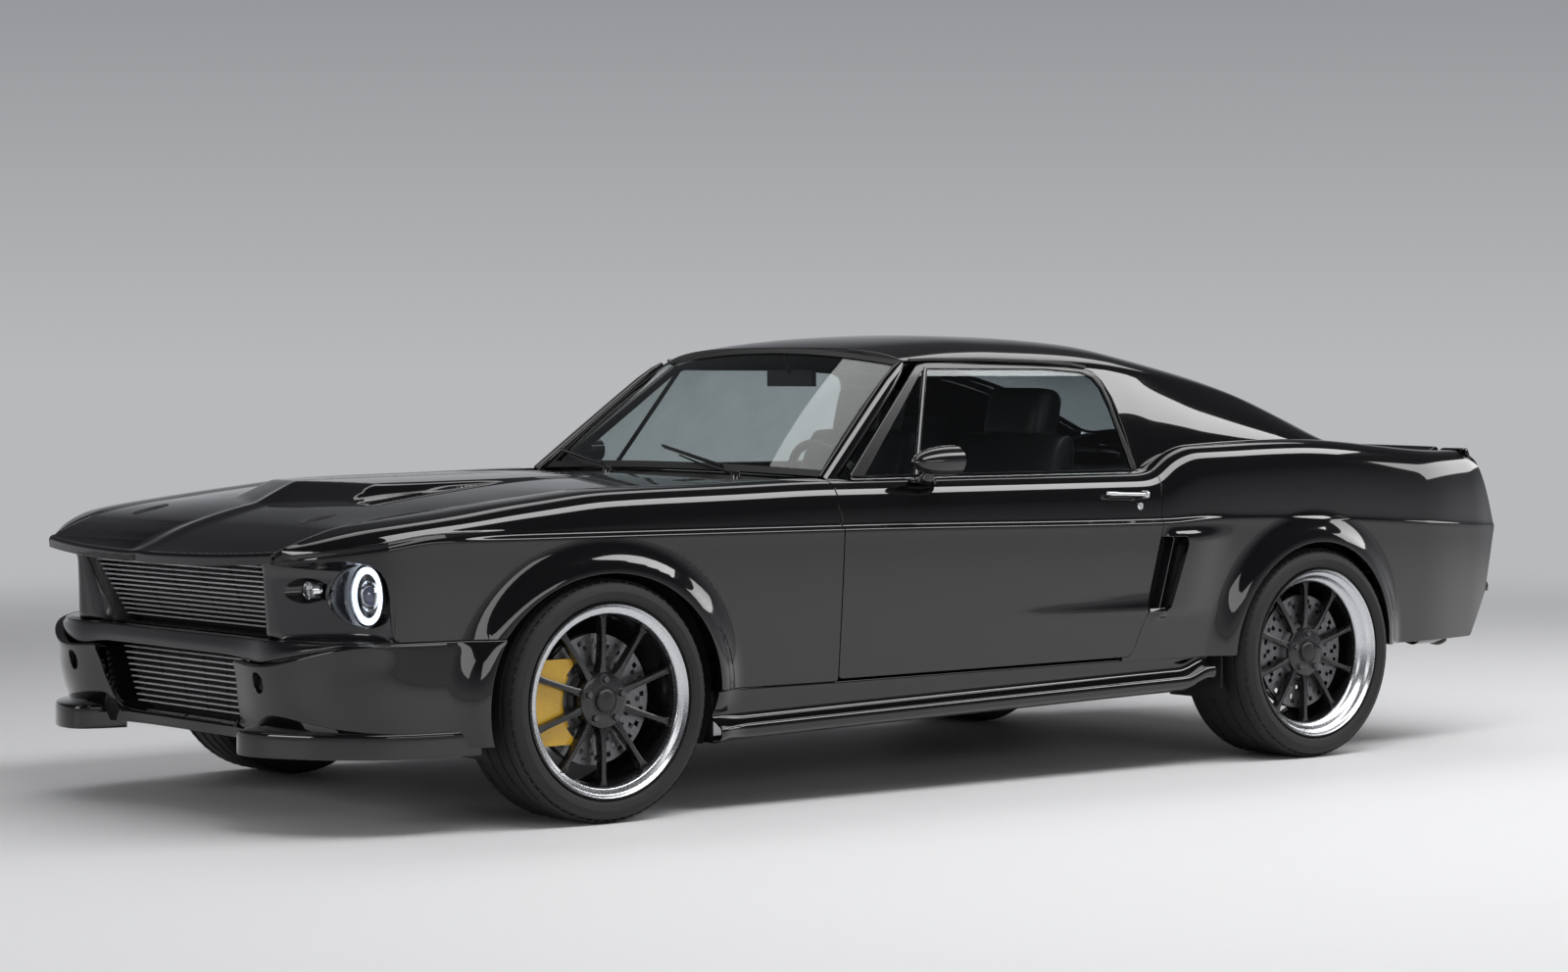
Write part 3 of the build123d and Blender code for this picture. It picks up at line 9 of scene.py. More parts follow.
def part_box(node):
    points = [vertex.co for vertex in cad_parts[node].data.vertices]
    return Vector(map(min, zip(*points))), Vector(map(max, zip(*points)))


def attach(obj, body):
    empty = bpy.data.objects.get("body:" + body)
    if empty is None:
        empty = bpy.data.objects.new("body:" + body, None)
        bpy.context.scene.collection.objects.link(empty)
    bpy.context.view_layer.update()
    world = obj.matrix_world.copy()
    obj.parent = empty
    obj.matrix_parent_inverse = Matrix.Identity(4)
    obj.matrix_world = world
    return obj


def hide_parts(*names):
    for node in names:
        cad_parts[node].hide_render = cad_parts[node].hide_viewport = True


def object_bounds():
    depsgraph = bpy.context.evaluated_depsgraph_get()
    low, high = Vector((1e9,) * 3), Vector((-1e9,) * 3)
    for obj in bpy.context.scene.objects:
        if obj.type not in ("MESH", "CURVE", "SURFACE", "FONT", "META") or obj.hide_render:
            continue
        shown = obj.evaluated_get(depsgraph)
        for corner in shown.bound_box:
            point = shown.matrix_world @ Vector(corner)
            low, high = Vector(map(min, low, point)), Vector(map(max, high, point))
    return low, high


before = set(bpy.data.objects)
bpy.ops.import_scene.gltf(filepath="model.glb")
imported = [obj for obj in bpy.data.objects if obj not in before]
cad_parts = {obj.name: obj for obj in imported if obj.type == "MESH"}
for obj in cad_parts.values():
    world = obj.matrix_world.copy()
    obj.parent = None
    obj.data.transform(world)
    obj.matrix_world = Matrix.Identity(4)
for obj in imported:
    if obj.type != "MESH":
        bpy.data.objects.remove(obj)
CAD_BOX = [list(corner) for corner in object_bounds()]

# ---- places read from the frame -------------------------------------------------------------
TYRE_LO, TYRE_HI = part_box("tyre_front_left")
REAR_TYRE_LO, REAR_TYRE_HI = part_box("tyre_rear_left")
DOOR_LO, DOOR_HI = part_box("door_left")
FRONT_X = (TYRE_LO.x + TYRE_HI.x) / 2
REAR_X = (REAR_TYRE_LO.x + REAR_TYRE_HI.x) / 2
HUB_Z = (TYRE_LO.z + TYRE_HI.z) / 2
TYRE_R = (TYRE_HI.z - TYRE_LO.z) / 2
NOSE_X = CAD_BOX[1][0]
TAIL_X = CAD_BOX[0][0]
DOOR_F = DOOR_HI.x
DOOR_R = DOOR_LO.x
HALF = DOOR_HI.y
SILL = DOOR_LO.z
HOOD_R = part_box("bonnet")[0].x
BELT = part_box("cowl")[1].z + 0.004
GAP = 0.003                    # half of a shut line
FULL_TURN = 2 * math.pi
HANDS = ("left", "right")


# ---- smooth curves and surfaces -------------------------------------------------------------
def pchip(x, stations):
    """Monotone cubic through the stations, with straight ends."""
    xs, vs = np.array(sorted(stations), float).T
    h = np.diff(xs)
    slope = np.diff(vs) / h
    inner = np.where(slope[:-1] * slope[1:] > 0,
                     2 * slope[:-1] * slope[1:] / np.where(slope[:-1] + slope[1:] == 0, 1,
                                                           slope[:-1] + slope[1:]), 0)
    tangent = np.concatenate([slope[:1], inner, slope[-1:]])
    i = np.clip(np.searchsorted(xs, x) - 1, 0, len(h) - 1)
    t = (x - xs[i]) / h[i]
    inside = np.clip(t, 0, 1)
    ease = inside * inside * (3 - 2 * inside)
    value = (vs[i] + (vs[i + 1] - vs[i]) * ease
             + h[i] * tangent[i] * inside * (1 - inside) ** 2
             + h[i] * tangent[i + 1] * inside ** 2 * (inside - 1))
    return value + (t - inside) * h[i] * np.where(t < 0, tangent[0], tangent[-1])


def basis(t):
    """Uniform cubic B-spline weights."""
    return ((1 - t) ** 3 / 6, (3 * t ** 3 - 6 * t * t + 4) / 6,
            (-3 * t ** 3 + 3 * t * t + 3 * t + 1) / 6, t ** 3 / 6)


def smooth(stations, step=0.07):
    """Curve with smooth curvature that follows the stations."""
    first, last = min(stations)[0], max(stations)[0]
    count = int(math.ceil((last - first) / step)) + 5
    grid = first - 2 * step + step * np.arange(count)
    control = pchip(grid, stations)

    def value(x):
        t = (np.asarray(x, float) - grid[0]) / step - 1
        i = np.clip(np.floor(t).astype(int), 0, count - 4)
        return sum(w * control[i + k] for k, w in enumerate(basis(t - i)))
    return value


def across(rows, v):
    """Point at v, from 0 to 1, on the curve that the control rows pull on."""
    rows = np.asarray(rows)
    padded = np.concatenate([2 * rows[:1] - rows[1:2], rows, 2 * rows[-1:] - rows[-2:-1]])
    t = np.clip(v, 0, 1) * (len(rows) - 1)
    i = np.clip(np.floor(t).astype(int), 0, len(rows) - 2)
    n = np.arange(rows.shape[1])
    return sum(w * padded[i + k, n] for k, w in enumerate(basis(t - i)))


def section_at(rows, like, v):
    """Both coordinates at v of a section whose control rows are pairs, spread like an array."""
    return [across(np.array([np.broadcast_to(row[k], like.shape) for row in rows]), v)
            for k in (0, 1)]


def step_up(t):
    """0 below 0, 1 above 1, smooth between."""
    t = np.clip(t, 0, 1)
    return t * t * t * (10 - 15 * t + 6 * t * t)


def normals_of(surface, u, v, step=4e-4):
    """Unit normals of a surface from small steps along it; v stays within 0 and 1."""
    a = surface(u + step, v) - surface(u - step, v)
    lo, hi = np.clip(v - step, 0, 1), np.clip(v + step, 0, 1)
    b = surface(u, hi) - surface(u, lo)
    n = np.cross(a, b)
    return n / np.maximum(np.linalg.norm(n, axis=1), 1e-12)[:, None]


# ---- meshes ---------------------------------------------------------------------------------
def mesh_piece(name, points, faces, material, body="body", normals=None, stands_for=(),
               mirrored=False):
    """A mesh object on a CAD body; mirrored makes its right-hand twin from the left one."""
    if mirrored:
        points = np.asarray(points) * (1, -1, 1)
        faces = [face[::-1] for face in faces]
        normals = None if normals is None else np.asarray(normals) * (1, -1, 1)
    data = bpy.data.meshes.new(name)
    data.from_pydata([tuple(p) for p in points], [], [tuple(f) for f in faces])
    data.polygons.foreach_set("use_smooth", [True] * len(data.polygons))
    if normals is not None:
        data.normals_split_custom_set_from_vertices([tuple(n) for n in normals])
    else:
        data.set_sharp_from_angle(angle=math.radians(32))
    data.materials.append(material)
    piece = bpy.data.objects.new(name, data)
    bpy.context.collection.objects.link(piece)
    if stands_for:
        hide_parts(*stands_for)
    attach(piece, body)
    return piece


def clip_grid(surface, u, v, field):
    """Grid of a surface cut along field = 0: points, their (u, v) and quads or polygons."""
    uu, vv = np.meshgrid(u, v, indexing="ij")
    shape = uu.shape

    def value(a, b):
        p = surface(a, b)
        return field(p[:, 0], p[:, 1], p[:, 2], a, b)

    f = value(uu.ravel(), vv.ravel()).reshape(shape)
    inside = f >= 0
    ids = -np.ones(shape, int)
    ids[inside] = np.arange(inside.sum())
    us, vs = [uu[inside]], [vv[inside]]
    count = int(inside.sum())
    cuts = {}
    for axis in (0, 1):
        a = (slice(None, -1), slice(None)) if axis == 0 else (slice(None), slice(None, -1))
        b = (slice(1, None), slice(None)) if axis == 0 else (slice(None), slice(1, None))
        crossing = inside[a] != inside[b]
        i, j = np.nonzero(crossing)
        i2, j2 = (i + 1, j) if axis == 0 else (i, j + 1)
        start_in = inside[i, j]
        u0, v0 = np.where(start_in, uu[i, j], uu[i2, j2]), np.where(start_in, vv[i, j],
                                                                     vv[i2, j2])
        u1, v1 = np.where(start_in, uu[i2, j2], uu[i, j]), np.where(start_in, vv[i2, j2],
                                                                     vv[i, j])
        lo, hi = np.zeros(len(i)), np.ones(len(i))
        for _ in range(16):
            mid = (lo + hi) / 2
            ok = value(u0 + (u1 - u0) * mid, v0 + (v1 - v0) * mid) >= 0 if len(i) else mid > 0
            lo, hi = np.where(ok, mid, lo), np.where(ok, hi, mid)
        us.append(u0 + (u1 - u0) * lo)
        vs.append(v0 + (v1 - v0) * lo)
        for k in range(len(i)):
            cuts[axis, int(i[k]), int(j[k])] = count + k
        count += len(i)
    faces = []
    full = inside[:-1, :-1] & inside[1:, :-1] & inside[1:, 1:] & inside[:-1, 1:]
    for i, j in zip(*np.nonzero(full)):
        faces.append((ids[i, j], ids[i + 1, j], ids[i + 1, j + 1], ids[i, j + 1]))
    some = inside[:-1, :-1] | inside[1:, :-1] | inside[1:, 1:] | inside[:-1, 1:]
    for i, j in zip(*np.nonzero(some & ~full)):
        ring = ((i, j), (i + 1, j), (i + 1, j + 1), (i, j + 1))
        edges = ((0, i, j), (1, i + 1, j), (0, i, j + 1), (1, i, j))
        face = []
        for corner, edge in zip(ring, edges):
            if inside[corner]:
                face.append(ids[corner])
            if edge in cuts:
                face.append(cuts[edge])
        if len(face) > 2:
            faces.append(tuple(face))
    return np.concatenate(us), np.concatenate(vs), faces


def away_from_middle(points):
    """Directions away from a line low down the middle of the car."""
    spine = np.stack([np.clip(points[:, 0], TAIL_X + 0.75, FRONT_X), 0 * points[:, 1],
                      0 * points[:, 2] + 0.6], 1)
    return points - spine


def panel_mesh(surface, u, v, field, depth=0.016, radius=0.0025, back=None):
    """Closed pressed panel: outer skin, rounded hems and an inner skin depth behind it."""
    pu, pv, faces = clip_grid(surface, u, v, field)
    points = surface(pu, pv)
    normals = normals_of(surface, pu, pv)
    if (normals * away_from_middle(points)).sum() < 0:
        normals = -normals
    # turn the faces the way the normals point
    corner = np.array([face[:3] for face in faces])
    a, b, c = points[corner[:, 0]], points[corner[:, 1]], points[corner[:, 2]]
    if (np.cross(b - a, c - a) * normals[corner[:, 0]]).sum() < 0:
        faces = [face[::-1] for face in faces]
    used = {}
    for face in faces:
        for k in range(len(face)):
            used[face[k], face[(k + 1) % len(face)]] = True
    rim = [edge for edge in used if (edge[1], edge[0]) not in used and edge[0] != edge[1]]
    out = np.zeros_like(points)
    for s, e in rim:
        along = points[e] - points[s]
        away = np.cross(along, normals[s] + normals[e])
        length = np.linalg.norm(away)
        if length > 1e-12:
            out[s] += away / length * np.linalg.norm(along)
            out[e] += away / length * np.linalg.norm(along)
    on_rim = np.unique(np.array(rim).ravel()) if rim else np.array([], int)
    t = out[on_rim]
    n = normals[on_rim]
    t = t - n * (t * n).sum(1)[:, None]
    t /= np.maximum(np.linalg.norm(t, axis=1), 1e-12)[:, None]
    p = points[on_rim]
    inner = points - normals * depth if back is None else back(points, normals)
    all_points, all_normals = [points], [normals]
    index = {int(k): i for i, k in enumerate(on_rim)}
    rows = [np.array(on_rim)]
    base = len(points)
    for angle in (0.45, 1.0, math.pi / 2):
        all_points.append(p + t * radius * math.sin(angle) - n * radius * (1 - math.cos(angle)))
        all_normals.append(n * math.cos(angle) + t * math.sin(angle))
        rows.append(base + np.arange(len(p)))
        base += len(p)
    all_points.append(inner[on_rim] + t * radius)
    all_normals.append(t)
    rows.append(base + np.arange(len(p)))
    base += len(p)
    all_points += [inner[on_rim] + t * radius, inner]
    all_normals += [-n, -normals]
    rim_back = base + np.arange(len(p))
    base += len(p)
    shell = [tuple(face) for face in faces]
    for s, e in rim:
        i, j = index[int(s)], index[int(e)]
        for lower, upper in zip(rows, rows[1:]):
            shell.append((lower[j], lower[i], upper[i], upper[j]))
        shell.append((rim_back[j], rim_back[i], base + s, base + e))
    shell += [tuple(base + k for k in face[::-1]) for face in faces]
    return np.concatenate(all_points), shell, np.concatenate(all_normals)


def panel(name, surface, u, v, field, material, side=None, body="body", stands_for=(),
          slot_name="body_paint", **shape):
    """Pressed panel of a surface where field is positive, as an object on a CAD body."""
    points, faces, normals = panel_mesh(surface, u, v, field, **shape)
    label = f"{name}_{side}" if side else name
    return mesh_piece(label, points, faces, material, body, normals, stands_for,
                      mirrored=side == "right")


class Shape:
    """Points and faces gathered from several simple solids."""

    def __init__(self):
        self.points, self.faces = [], []

    def add(self, points, faces):
        base = len(self.points)
        self.points += [tuple(p) for p in points]
        self.faces += [tuple(base + k for k in face) for face in faces]
        return self

    def lathe(self, profile, at=(0, 0, 0), axis="y", turns=64, closed=False):
        """Revolves (radius, along) rows about an axis through at."""
        n = len(profile)
        ring = []
        for k in range(turns):
            a = FULL_TURN * k / turns
            for r, s in profile:
                c, d = r * math.cos(a), r * math.sin(a)
                ring.append({"y": (at[0] + c, at[1] + s, at[2] + d),
                             "x": (at[0] + s, at[1] + c, at[2] + d),
                             "z": (at[0] + c, at[1] + d, at[2] + s)}[axis])
        last = n if closed else n - 1
        faces = []
        for k in range(turns):
            m = (k + 1) % turns
            for i in range(last):
                j = (i + 1) % n
                faces.append((k * n + i, k * n + j, m * n + j, m * n + i))
        return self.add(ring, faces)

    def tube(self, path, radius, around=10, squash=1.0, up=(0, 0, 1)):
        """Tube with flat ends along a path; squash flattens it along the up direction."""
        path = [Vector(p) for p in path]
        radii = radius if hasattr(radius, "__len__") else [radius] * len(path)
        rings, faces = [], []
        for k, p in enumerate(path):
            along = (path[min(k + 1, len(path) - 1)] - path[max(k - 1, 0)]).normalized()
            side = along.cross(Vector(up))
            side = side.normalized() if side.length > 1e-6 else Vector((1, 0, 0))
            lift = side.cross(along)
            rings += [p + side * radii[k] * math.cos(FULL_TURN * i / around)
                      + lift * radii[k] * squash * math.sin(FULL_TURN * i / around)
                      for i in range(around)]
        for k in range(len(path) - 1):
            for i in range(around):
                j = (i + 1) % around
                faces.append((k * around + i, k * around + j, (k + 1) * around + j,
                              (k + 1) * around + i))
        faces.append(tuple(range(around))[::-1])
        faces.append(tuple((len(path) - 1) * around + i for i in range(around)))
        return self.add(rings, faces)

    def prism(self, outline, direction):
        """Extrudes a flat ring of points by a direction."""
        n = len(outline)
        d = Vector(direction)
        points = [Vector(p) for p in outline] + [Vector(p) + d for p in outline]
        faces = [(i, (i + 1) % n, n + (i + 1) % n, n + i) for i in range(n)]
        faces += [tuple(range(n))[::-1], tuple(range(n, 2 * n))]
        return self.add(points, faces)

    def block(self, low, high):
        """Upright box between two corners."""
        (a, b, c), (d, e, f) = low, high
        return self.prism([(a, b, c), (d, b, c), (d, e, c), (a, e, c)], (0, 0, f - c))

    def rows(self, rows, closed=False):
        """Skin over rows of points, all of the same length."""
        n = len(rows[0])
        faces = []
        for k in range(len(rows) - 1):
            for i in range(n if closed else n - 1):
                j = (i + 1) % n
                faces.append((k * n + i, k * n + j, (k + 1) * n + j, (k + 1) * n + i))
        return self.add([p for row in rows for p in row], faces)

    def piece(self, name, material, body="body", stands_for=(), slot_name=None, side=None,
              sharp=32):
        label = f"{name}_{side}" if side else name
        made = mesh_piece(label, self.points, self.faces, material, body, None, stands_for,
                          mirrored=side == "right")
        made.data.set_sharp_from_angle(angle=math.radians(sharp))
        return made


# ---- materials ------------------------------------------------------------------------------
def add_node(nodes, kind, **values):
    """New shader node; each value sets the input of that name, _ standing for a space."""
    made = nodes.new("ShaderNode" + kind)
    for key, value in values.items():
        made.inputs[key.replace("_", " ")].default_value = value
    return made


def set_stops(ramp, *stops):
    """Gives a colour ramp its (position, colour) stops, from the lowest up."""
    elements = ramp.color_ramp.elements
    while len(elements) < len(stops):
        elements.new(0.5)
    for element, (position, colour) in zip(elements, stops):
        element.position, element.color = position, (*colour, 1)


def finish_of(name, colour, rough=0.4, metal=0.0, scale=60.0, rough_swing=0.06, bump=0.0,
              tint=0.12, detail=4.0, **sockets):
    """Principled material whose roughness, tone and relief vary finely over the surface."""
    made = bpy.data.materials.new(name)
    made.use_nodes = True
    nodes, links = made.node_tree.nodes, made.node_tree.links
    shader = nodes["Principled BSDF"]
    shader.inputs["Metallic"].default_value = metal
    for key, value in sockets.items():
        shader.inputs[key.replace("_", " ")].default_value = value
    place = add_node(nodes, "TexCoord")
    noise = add_node(nodes, "TexNoise", Scale=scale, Detail=detail)
    links.new(place.outputs["Object"], noise.inputs["Vector"])
    spread = add_node(nodes, "MapRange", To_Min=max(rough - rough_swing, 0),
                      To_Max=rough + rough_swing)
    links.new(noise.outputs["Fac"], spread.inputs["Value"])
    links.new(spread.outputs["Result"], shader.inputs["Roughness"])
    ramp = add_node(nodes, "ValToRGB")
    set_stops(ramp, (0.35, [c * (1 - tint) for c in colour]),
              (0.65, [min(c * (1 + tint), 1) for c in colour]))
    links.new(noise.outputs["Fac"], ramp.inputs["Fac"])
    links.new(ramp.outputs["Color"], shader.inputs["Base Color"])
    if bump:
        relief = add_node(nodes, "Bump", Strength=0.35, Distance=bump)
        links.new(noise.outputs["Fac"], relief.inputs["Height"])
        links.new(relief.outputs["Normal"], shader.inputs["Normal"])
    return made


def clear_glass(name, colour):
    return finish_of(name, colour, 0.0, rough_swing=0.004, scale=8, tint=0.03,
                     Transmission_Weight=1.0, IOR=1.45)


PAINT = finish_of("black paint", (0.0035, 0.0035, 0.004), 0.12, scale=900, rough_swing=0.02,
                  Coat_Weight=1.0, Coat_Roughness=0.012, Coat_IOR=1.6,
                  Specular_IOR_Level=0.05)
SATIN = finish_of("satin black", (0.012, 0.012, 0.013), 0.38, scale=300)
TRIM = finish_of("gloss black trim", (0.006, 0.006, 0.007), 0.18, scale=200, rough_swing=0.03,
                 Coat_Weight=0.5)
RUBBER = finish_of("tyre rubber", (0.014, 0.014, 0.015), 0.72, scale=220, bump=0.0003)
SEAL = finish_of("window rubber", (0.009, 0.009, 0.009), 0.6, scale=260, bump=0.0001)
CHROME = finish_of("polished metal", (0.78, 0.79, 0.8), 0.08, metal=1.0, scale=150,
                   rough_swing=0.03, tint=0.04)
BRUSHED = finish_of("machined lip", (0.62, 0.63, 0.65), 0.26, metal=1.0, scale=320,
                    rough_swing=0.08, tint=0.06)
STEEL = finish_of("brake disc steel", (0.18, 0.18, 0.185), 0.36, metal=1.0, scale=140)
CAST = finish_of("cast alloy", (0.11, 0.11, 0.115), 0.5, metal=0.8, scale=180, bump=0.0003)
SPOKE = finish_of("spoke black", (0.008, 0.008, 0.009), 0.26, scale=240, Coat_Weight=0.35)
CALIPER = finish_of("yellow caliper", (0.62, 0.36, 0.015), 0.3, scale=160, tint=0.05,
                    Coat_Weight=0.6)
BAR_METAL = finish_of("satin aluminium", (0.88, 0.88, 0.89), 0.34, metal=0.45, scale=300)
CHASSIS = finish_of("chassis black", (0.012, 0.012, 0.012), 0.62, scale=90, bump=0.0004)
LEATHER = finish_of("seat leather", (0.016, 0.0155, 0.015), 0.46, scale=420, bump=0.0005,
                    detail=8)
CARPET = finish_of("carpet", (0.014, 0.014, 0.015), 0.95, scale=700, bump=0.002)
VINYL = finish_of("dash vinyl", (0.015, 0.015, 0.016), 0.5, scale=350, bump=0.0003)
DIAL = finish_of("dial face", (0.02, 0.02, 0.022), 0.4, scale=100)
WHITE_MARK = finish_of("dial marks", (0.7, 0.7, 0.68), 0.5, scale=100)
SCREEN_GLASS = clear_glass("windscreen glass", (0.83, 0.88, 0.87))
SIDE_GLASS = clear_glass("side glass", (0.62, 0.68, 0.69))
REAR_TINT = clear_glass("rear glass tint", (0.5, 0.55, 0.56))
LENS = clear_glass("lamp glass", (0.95, 0.97, 1.0))
RED_LENS = finish_of("red lens", (0.42, 0.008, 0.006), 0.08, scale=80, rough_swing=0.02,
                     tint=0.08, Coat_Weight=0.8, Transmission_Weight=0.25)
AMBER_LENS = finish_of("dark lens", (0.03, 0.025, 0.022), 0.06, scale=80, rough_swing=0.02,
                       Coat_Weight=0.8)
BOWL = finish_of("lamp bowl", (0.01, 0.01, 0.012), 0.2, scale=180, Coat_Weight=0.7)
PROJECTOR = finish_of("projector lens", (0.02, 0.03, 0.09), 0.04, scale=60, rough_swing=0.02,
                      Coat_Weight=1.0, Coat_Roughness=0.0)
HALO = finish_of("halo light", (0.9, 0.93, 1.0), 0.3, scale=100, tint=0.02,
                 Emission_Color=(0.8, 0.87, 1.0, 1), Emission_Strength=1.6)
# near-black matte: the fins behind the grille bars in their own black, and painted shade on the
# backing sheet and the cowl tray, which stand for the dark depth behind the bars and under the
# slots
SHADE_BLACK = finish_of("painted shade black", (0.006, 0.006, 0.006), 0.8, scale=120)
MIRROR_FACE = finish_of("mirror glass", (0.85, 0.87, 0.88), 0.02, metal=1.0, scale=40,
                        rough_swing=0.01, tint=0.02)


# ---- curves that the body is drawn on -------------------------------------------------------
width = smooth([
    (TAIL_X, HALF - 0.128), (TAIL_X + 0.15, HALF - 0.078), (TAIL_X + 0.45, HALF - 0.022),
    (REAR_X, HALF - 0.002), (DOOR_R, HALF), (DOOR_F, HALF), (FRONT_X, HALF - 0.008),
    (FRONT_X + 0.40, HALF - 0.016), (FRONT_X + 0.57, HALF - 0.030),
    (FRONT_X + 0.655, HALF - 0.052), (FRONT_X + 0.705, HALF - 0.088),
    (FRONT_X + 0.775, HALF - 0.153), (FRONT_X + 0.835, HALF - 0.238),
    (FRONT_X + 0.885, HALF - 0.345)], 0.045)
crease = smooth([
    (TAIL_X, 0.700), (DOOR_R - 0.196, 0.763), (DOOR_R, 0.755), (DOOR_F, 0.768),
    (FRONT_X + 0.525, 0.772), (FRONT_X + 0.655, 0.752), (FRONT_X + 0.88, 0.712)], 0.06)
belt = smooth([
    (TAIL_X, 0.938), (TAIL_X + 0.15, 0.950), (TAIL_X + 0.272, 0.951), (REAR_X, 0.997),
    (DOOR_R - 0.172, 0.984), (DOOR_R - 0.077, 0.955), (DOOR_R, 0.910),
    (DOOR_R + 0.06, 0.905), (DOOR_F, 0.905), (HOOD_R, 0.898), (FRONT_X - 0.055, 0.889),
    (FRONT_X + 0.165, 0.869), (FRONT_X + 0.395, 0.844), (FRONT_X + 0.68, 0.806),
    (FRONT_X + 0.80, 0.768), (FRONT_X + 0.875, 0.735)], 0.045)
ledge = smooth([(TAIL_X, 0.002), (DOOR_R - 0.30, 0.002), (DOOR_R - 0.02, 0.014),
                (FRONT_X + 0.25, 0.014), (FRONT_X + 0.50, 0.002), (FRONT_X + 0.9, 0.0)], 0.07)
shut = smooth([(HOOD_R - 0.5, 0.700), (HOOD_R, 0.682), (FRONT_X, 0.668), (FRONT_X + 0.68, 0.642),
               (FRONT_X + 0.861, 0.618), (FRONT_X + 0.94, 0.600)])
roof_mid = smooth([
    (-1.80, 0.968), (-1.775, 0.980), (-1.70, 1.020), (-1.288, 1.192), (-0.930, 1.277),
    (-0.744, 1.312), (-0.45, 1.327), (-0.30, 1.328), (-0.15, 1.322), (0.0, 1.308),
    (0.119, 1.287), (0.14, 1.282)], 0.06)
roof_side = smooth([(-1.80, 0.600), (-1.70, 0.600), (-1.338, 0.575), (-0.704, 0.590),
                    (-0.30, 0.592), (0.119, 0.578), (0.14, 0.576)])
roof_low = smooth([(-1.80, 0.950), (-1.70, 0.983), (-1.288, 1.138), (-0.86, 1.218),
                   (-0.616, 1.240), (-0.20, 1.250), (0.10, 1.246), (0.14, 1.242)], 0.06)
sail_y = smooth([(-1.80, 0.672), (-1.70, 0.676), (-1.598, 0.690), (-1.338, 0.704),
                 (-1.03, 0.716), (-0.79, 0.734), (-0.70, 0.742), (0.14, 0.745)])
sail_z = smooth([(-1.80, 0.960), (-1.70, 0.968), (-1.60, 0.978), (-1.338, 0.990),
                 (-1.03, 0.985), (-0.80, 0.940), (-0.70, 0.905), (0.14, 0.900)], 0.05)
hood_mid = smooth([
    (HOOD_R - 0.03, 0.917), (HOOD_R, 0.916), (HOOD_R + 0.3, 0.909), (FRONT_X, 0.899),
    (FRONT_X + 0.395, 0.866), (FRONT_X + 0.524, 0.848), (FRONT_X + 0.664, 0.817),
    (FRONT_X + 0.80, 0.775), (NOSE_X - 0.03, 0.731), (NOSE_X, 0.722)], 0.05)
FRONT_ARCH = (0.388, 0.345)    # half length and height of a wheel opening
REAR_ARCH = (0.354, 0.351)
FLARE, FLARE_LIP, FLARE_REACH = 0.040, 0.016, 0.088
SIDE_FOOT = 0.330              # where the body side starts below the sill
DOOR_TOP_Y = 0.7505            # inner edge of the door's top, beside the glass
DECK_X = -1.7695               # rear edge of the roof, in front of the boot lid
LID_HALF = 0.634               # half the width of the boot lid
BROW_X = 2.268                 # front end of the fenders


def arch_distance(x, z, at, arch):
    """Distance outside a wheel opening, nearly in metres."""
    dx, dz = (x - at) / arch[0], (z - HUB_Z) / arch[1]
    r = np.sqrt(dx * dx + dz * dz) + 1e-9
    return (r - 1) * (arch[0] + arch[1]) / 2


def soft_min(a, b, k=0.004):
    """Smaller of two values, with the corner between them rounded over k."""
    h = np.clip(0.5 + 0.5 * (b - a) / k, 0, 1)
    return b + (a - b) * h - k * h * (1 - h)


def flare_bump(x, z, at, arch):
    """Wheel flare: a flat lip round the opening, then a shoulder that dies into the side."""
    t = (arch_distance(x, z, at, arch) - FLARE_LIP) / FLARE_REACH
    shoulder = FLARE * (1 - np.clip(t, -1, 1)) ** 2 * (1 + 0.5 * t)
    return np.where(t < 1, soft_min(shoulder, FLARE, 0.015), 0.0)


SCOOP_TOP, SCOOP_FOOT = 0.714, 0.485
MOUTH_TOP_X, MOUTH_FOOT_X = DOOR_R + 0.03, DOOR_R + 0.082


def scoop_shift(x, z):
    """How far behind the slanting front edge of the air scoop a point lies."""
    t = (z - SCOOP_FOOT) / (SCOOP_TOP - SCOOP_FOOT)
    return MOUTH_FOOT_X + (MOUTH_TOP_X - MOUTH_FOOT_X) * t - x


def side_out(x, z):
    """How far flares, scoop and spear stand out from the plain body side."""
    out = flare_bump(x, z, FRONT_X, FRONT_ARCH) + flare_bump(x, z, REAR_X, REAR_ARCH)
    behind = scoop_shift(x, z)
    tall = step_up((z - SCOOP_FOOT + 0.04) / 0.06) * step_up((SCOOP_TOP + 0.035 - z) / 0.05)
    lip = step_up(behind / 0.055) * (1 - step_up((behind - 0.10) / 0.24))
    out = out + 0.018 * tall * lip
    ahead = np.clip((DOOR_F - 0.52 - x) / 0.66, 0, 1)
    rise = np.exp(-((z - 0.486) / (0.010 + 0.018 * ahead)) ** 2)
    out = out + 0.012 * ahead ** 1.3 * rise * (x > MOUTH_TOP_X - 0.02)
    return out


def side(x, v, low, top_rows, k=1.0):
    """Body side at x; v runs from the bottom edge over the crease to the last top row."""
    w, cz, bz, step = width(x), crease(x), belt(x), ledge(x)
    h, r = cz - low, bz - cz
    rows = [
        (w - 0.031, low - 0.02), (w - 0.028, low + 0.05 * h), (w - 0.020, low + 0.28 * h),
        (w - 0.012, low + 0.52 * h), (w - 0.005, low + 0.76 * h), (w - 0.001, cz - 0.034),
        (w + 0.001, cz - 0.010), (w + 0.0016, cz - 0.001), (w - step * 0.35, cz + 0.004),
        (w - step, cz + 0.010), (w - step - 0.001, cz + 0.022),
        (w - step - 0.004 * k, cz + 0.30 * r), (w - step - 0.011 * k, cz + 0.55 * r),
        (w - step - 0.026 * k, cz + 0.79 * r), (w - step - 0.050 * k, cz + 0.955 * r),
        (w - 0.088 * k, bz + 0.001)] + top_rows(x, w, bz)
    y, z = section_at(rows, x, v)
    fade = step_up((y - (w - 0.10)) / 0.05)
    return np.stack([x, y + side_out(x, z) * fade, z], 1)


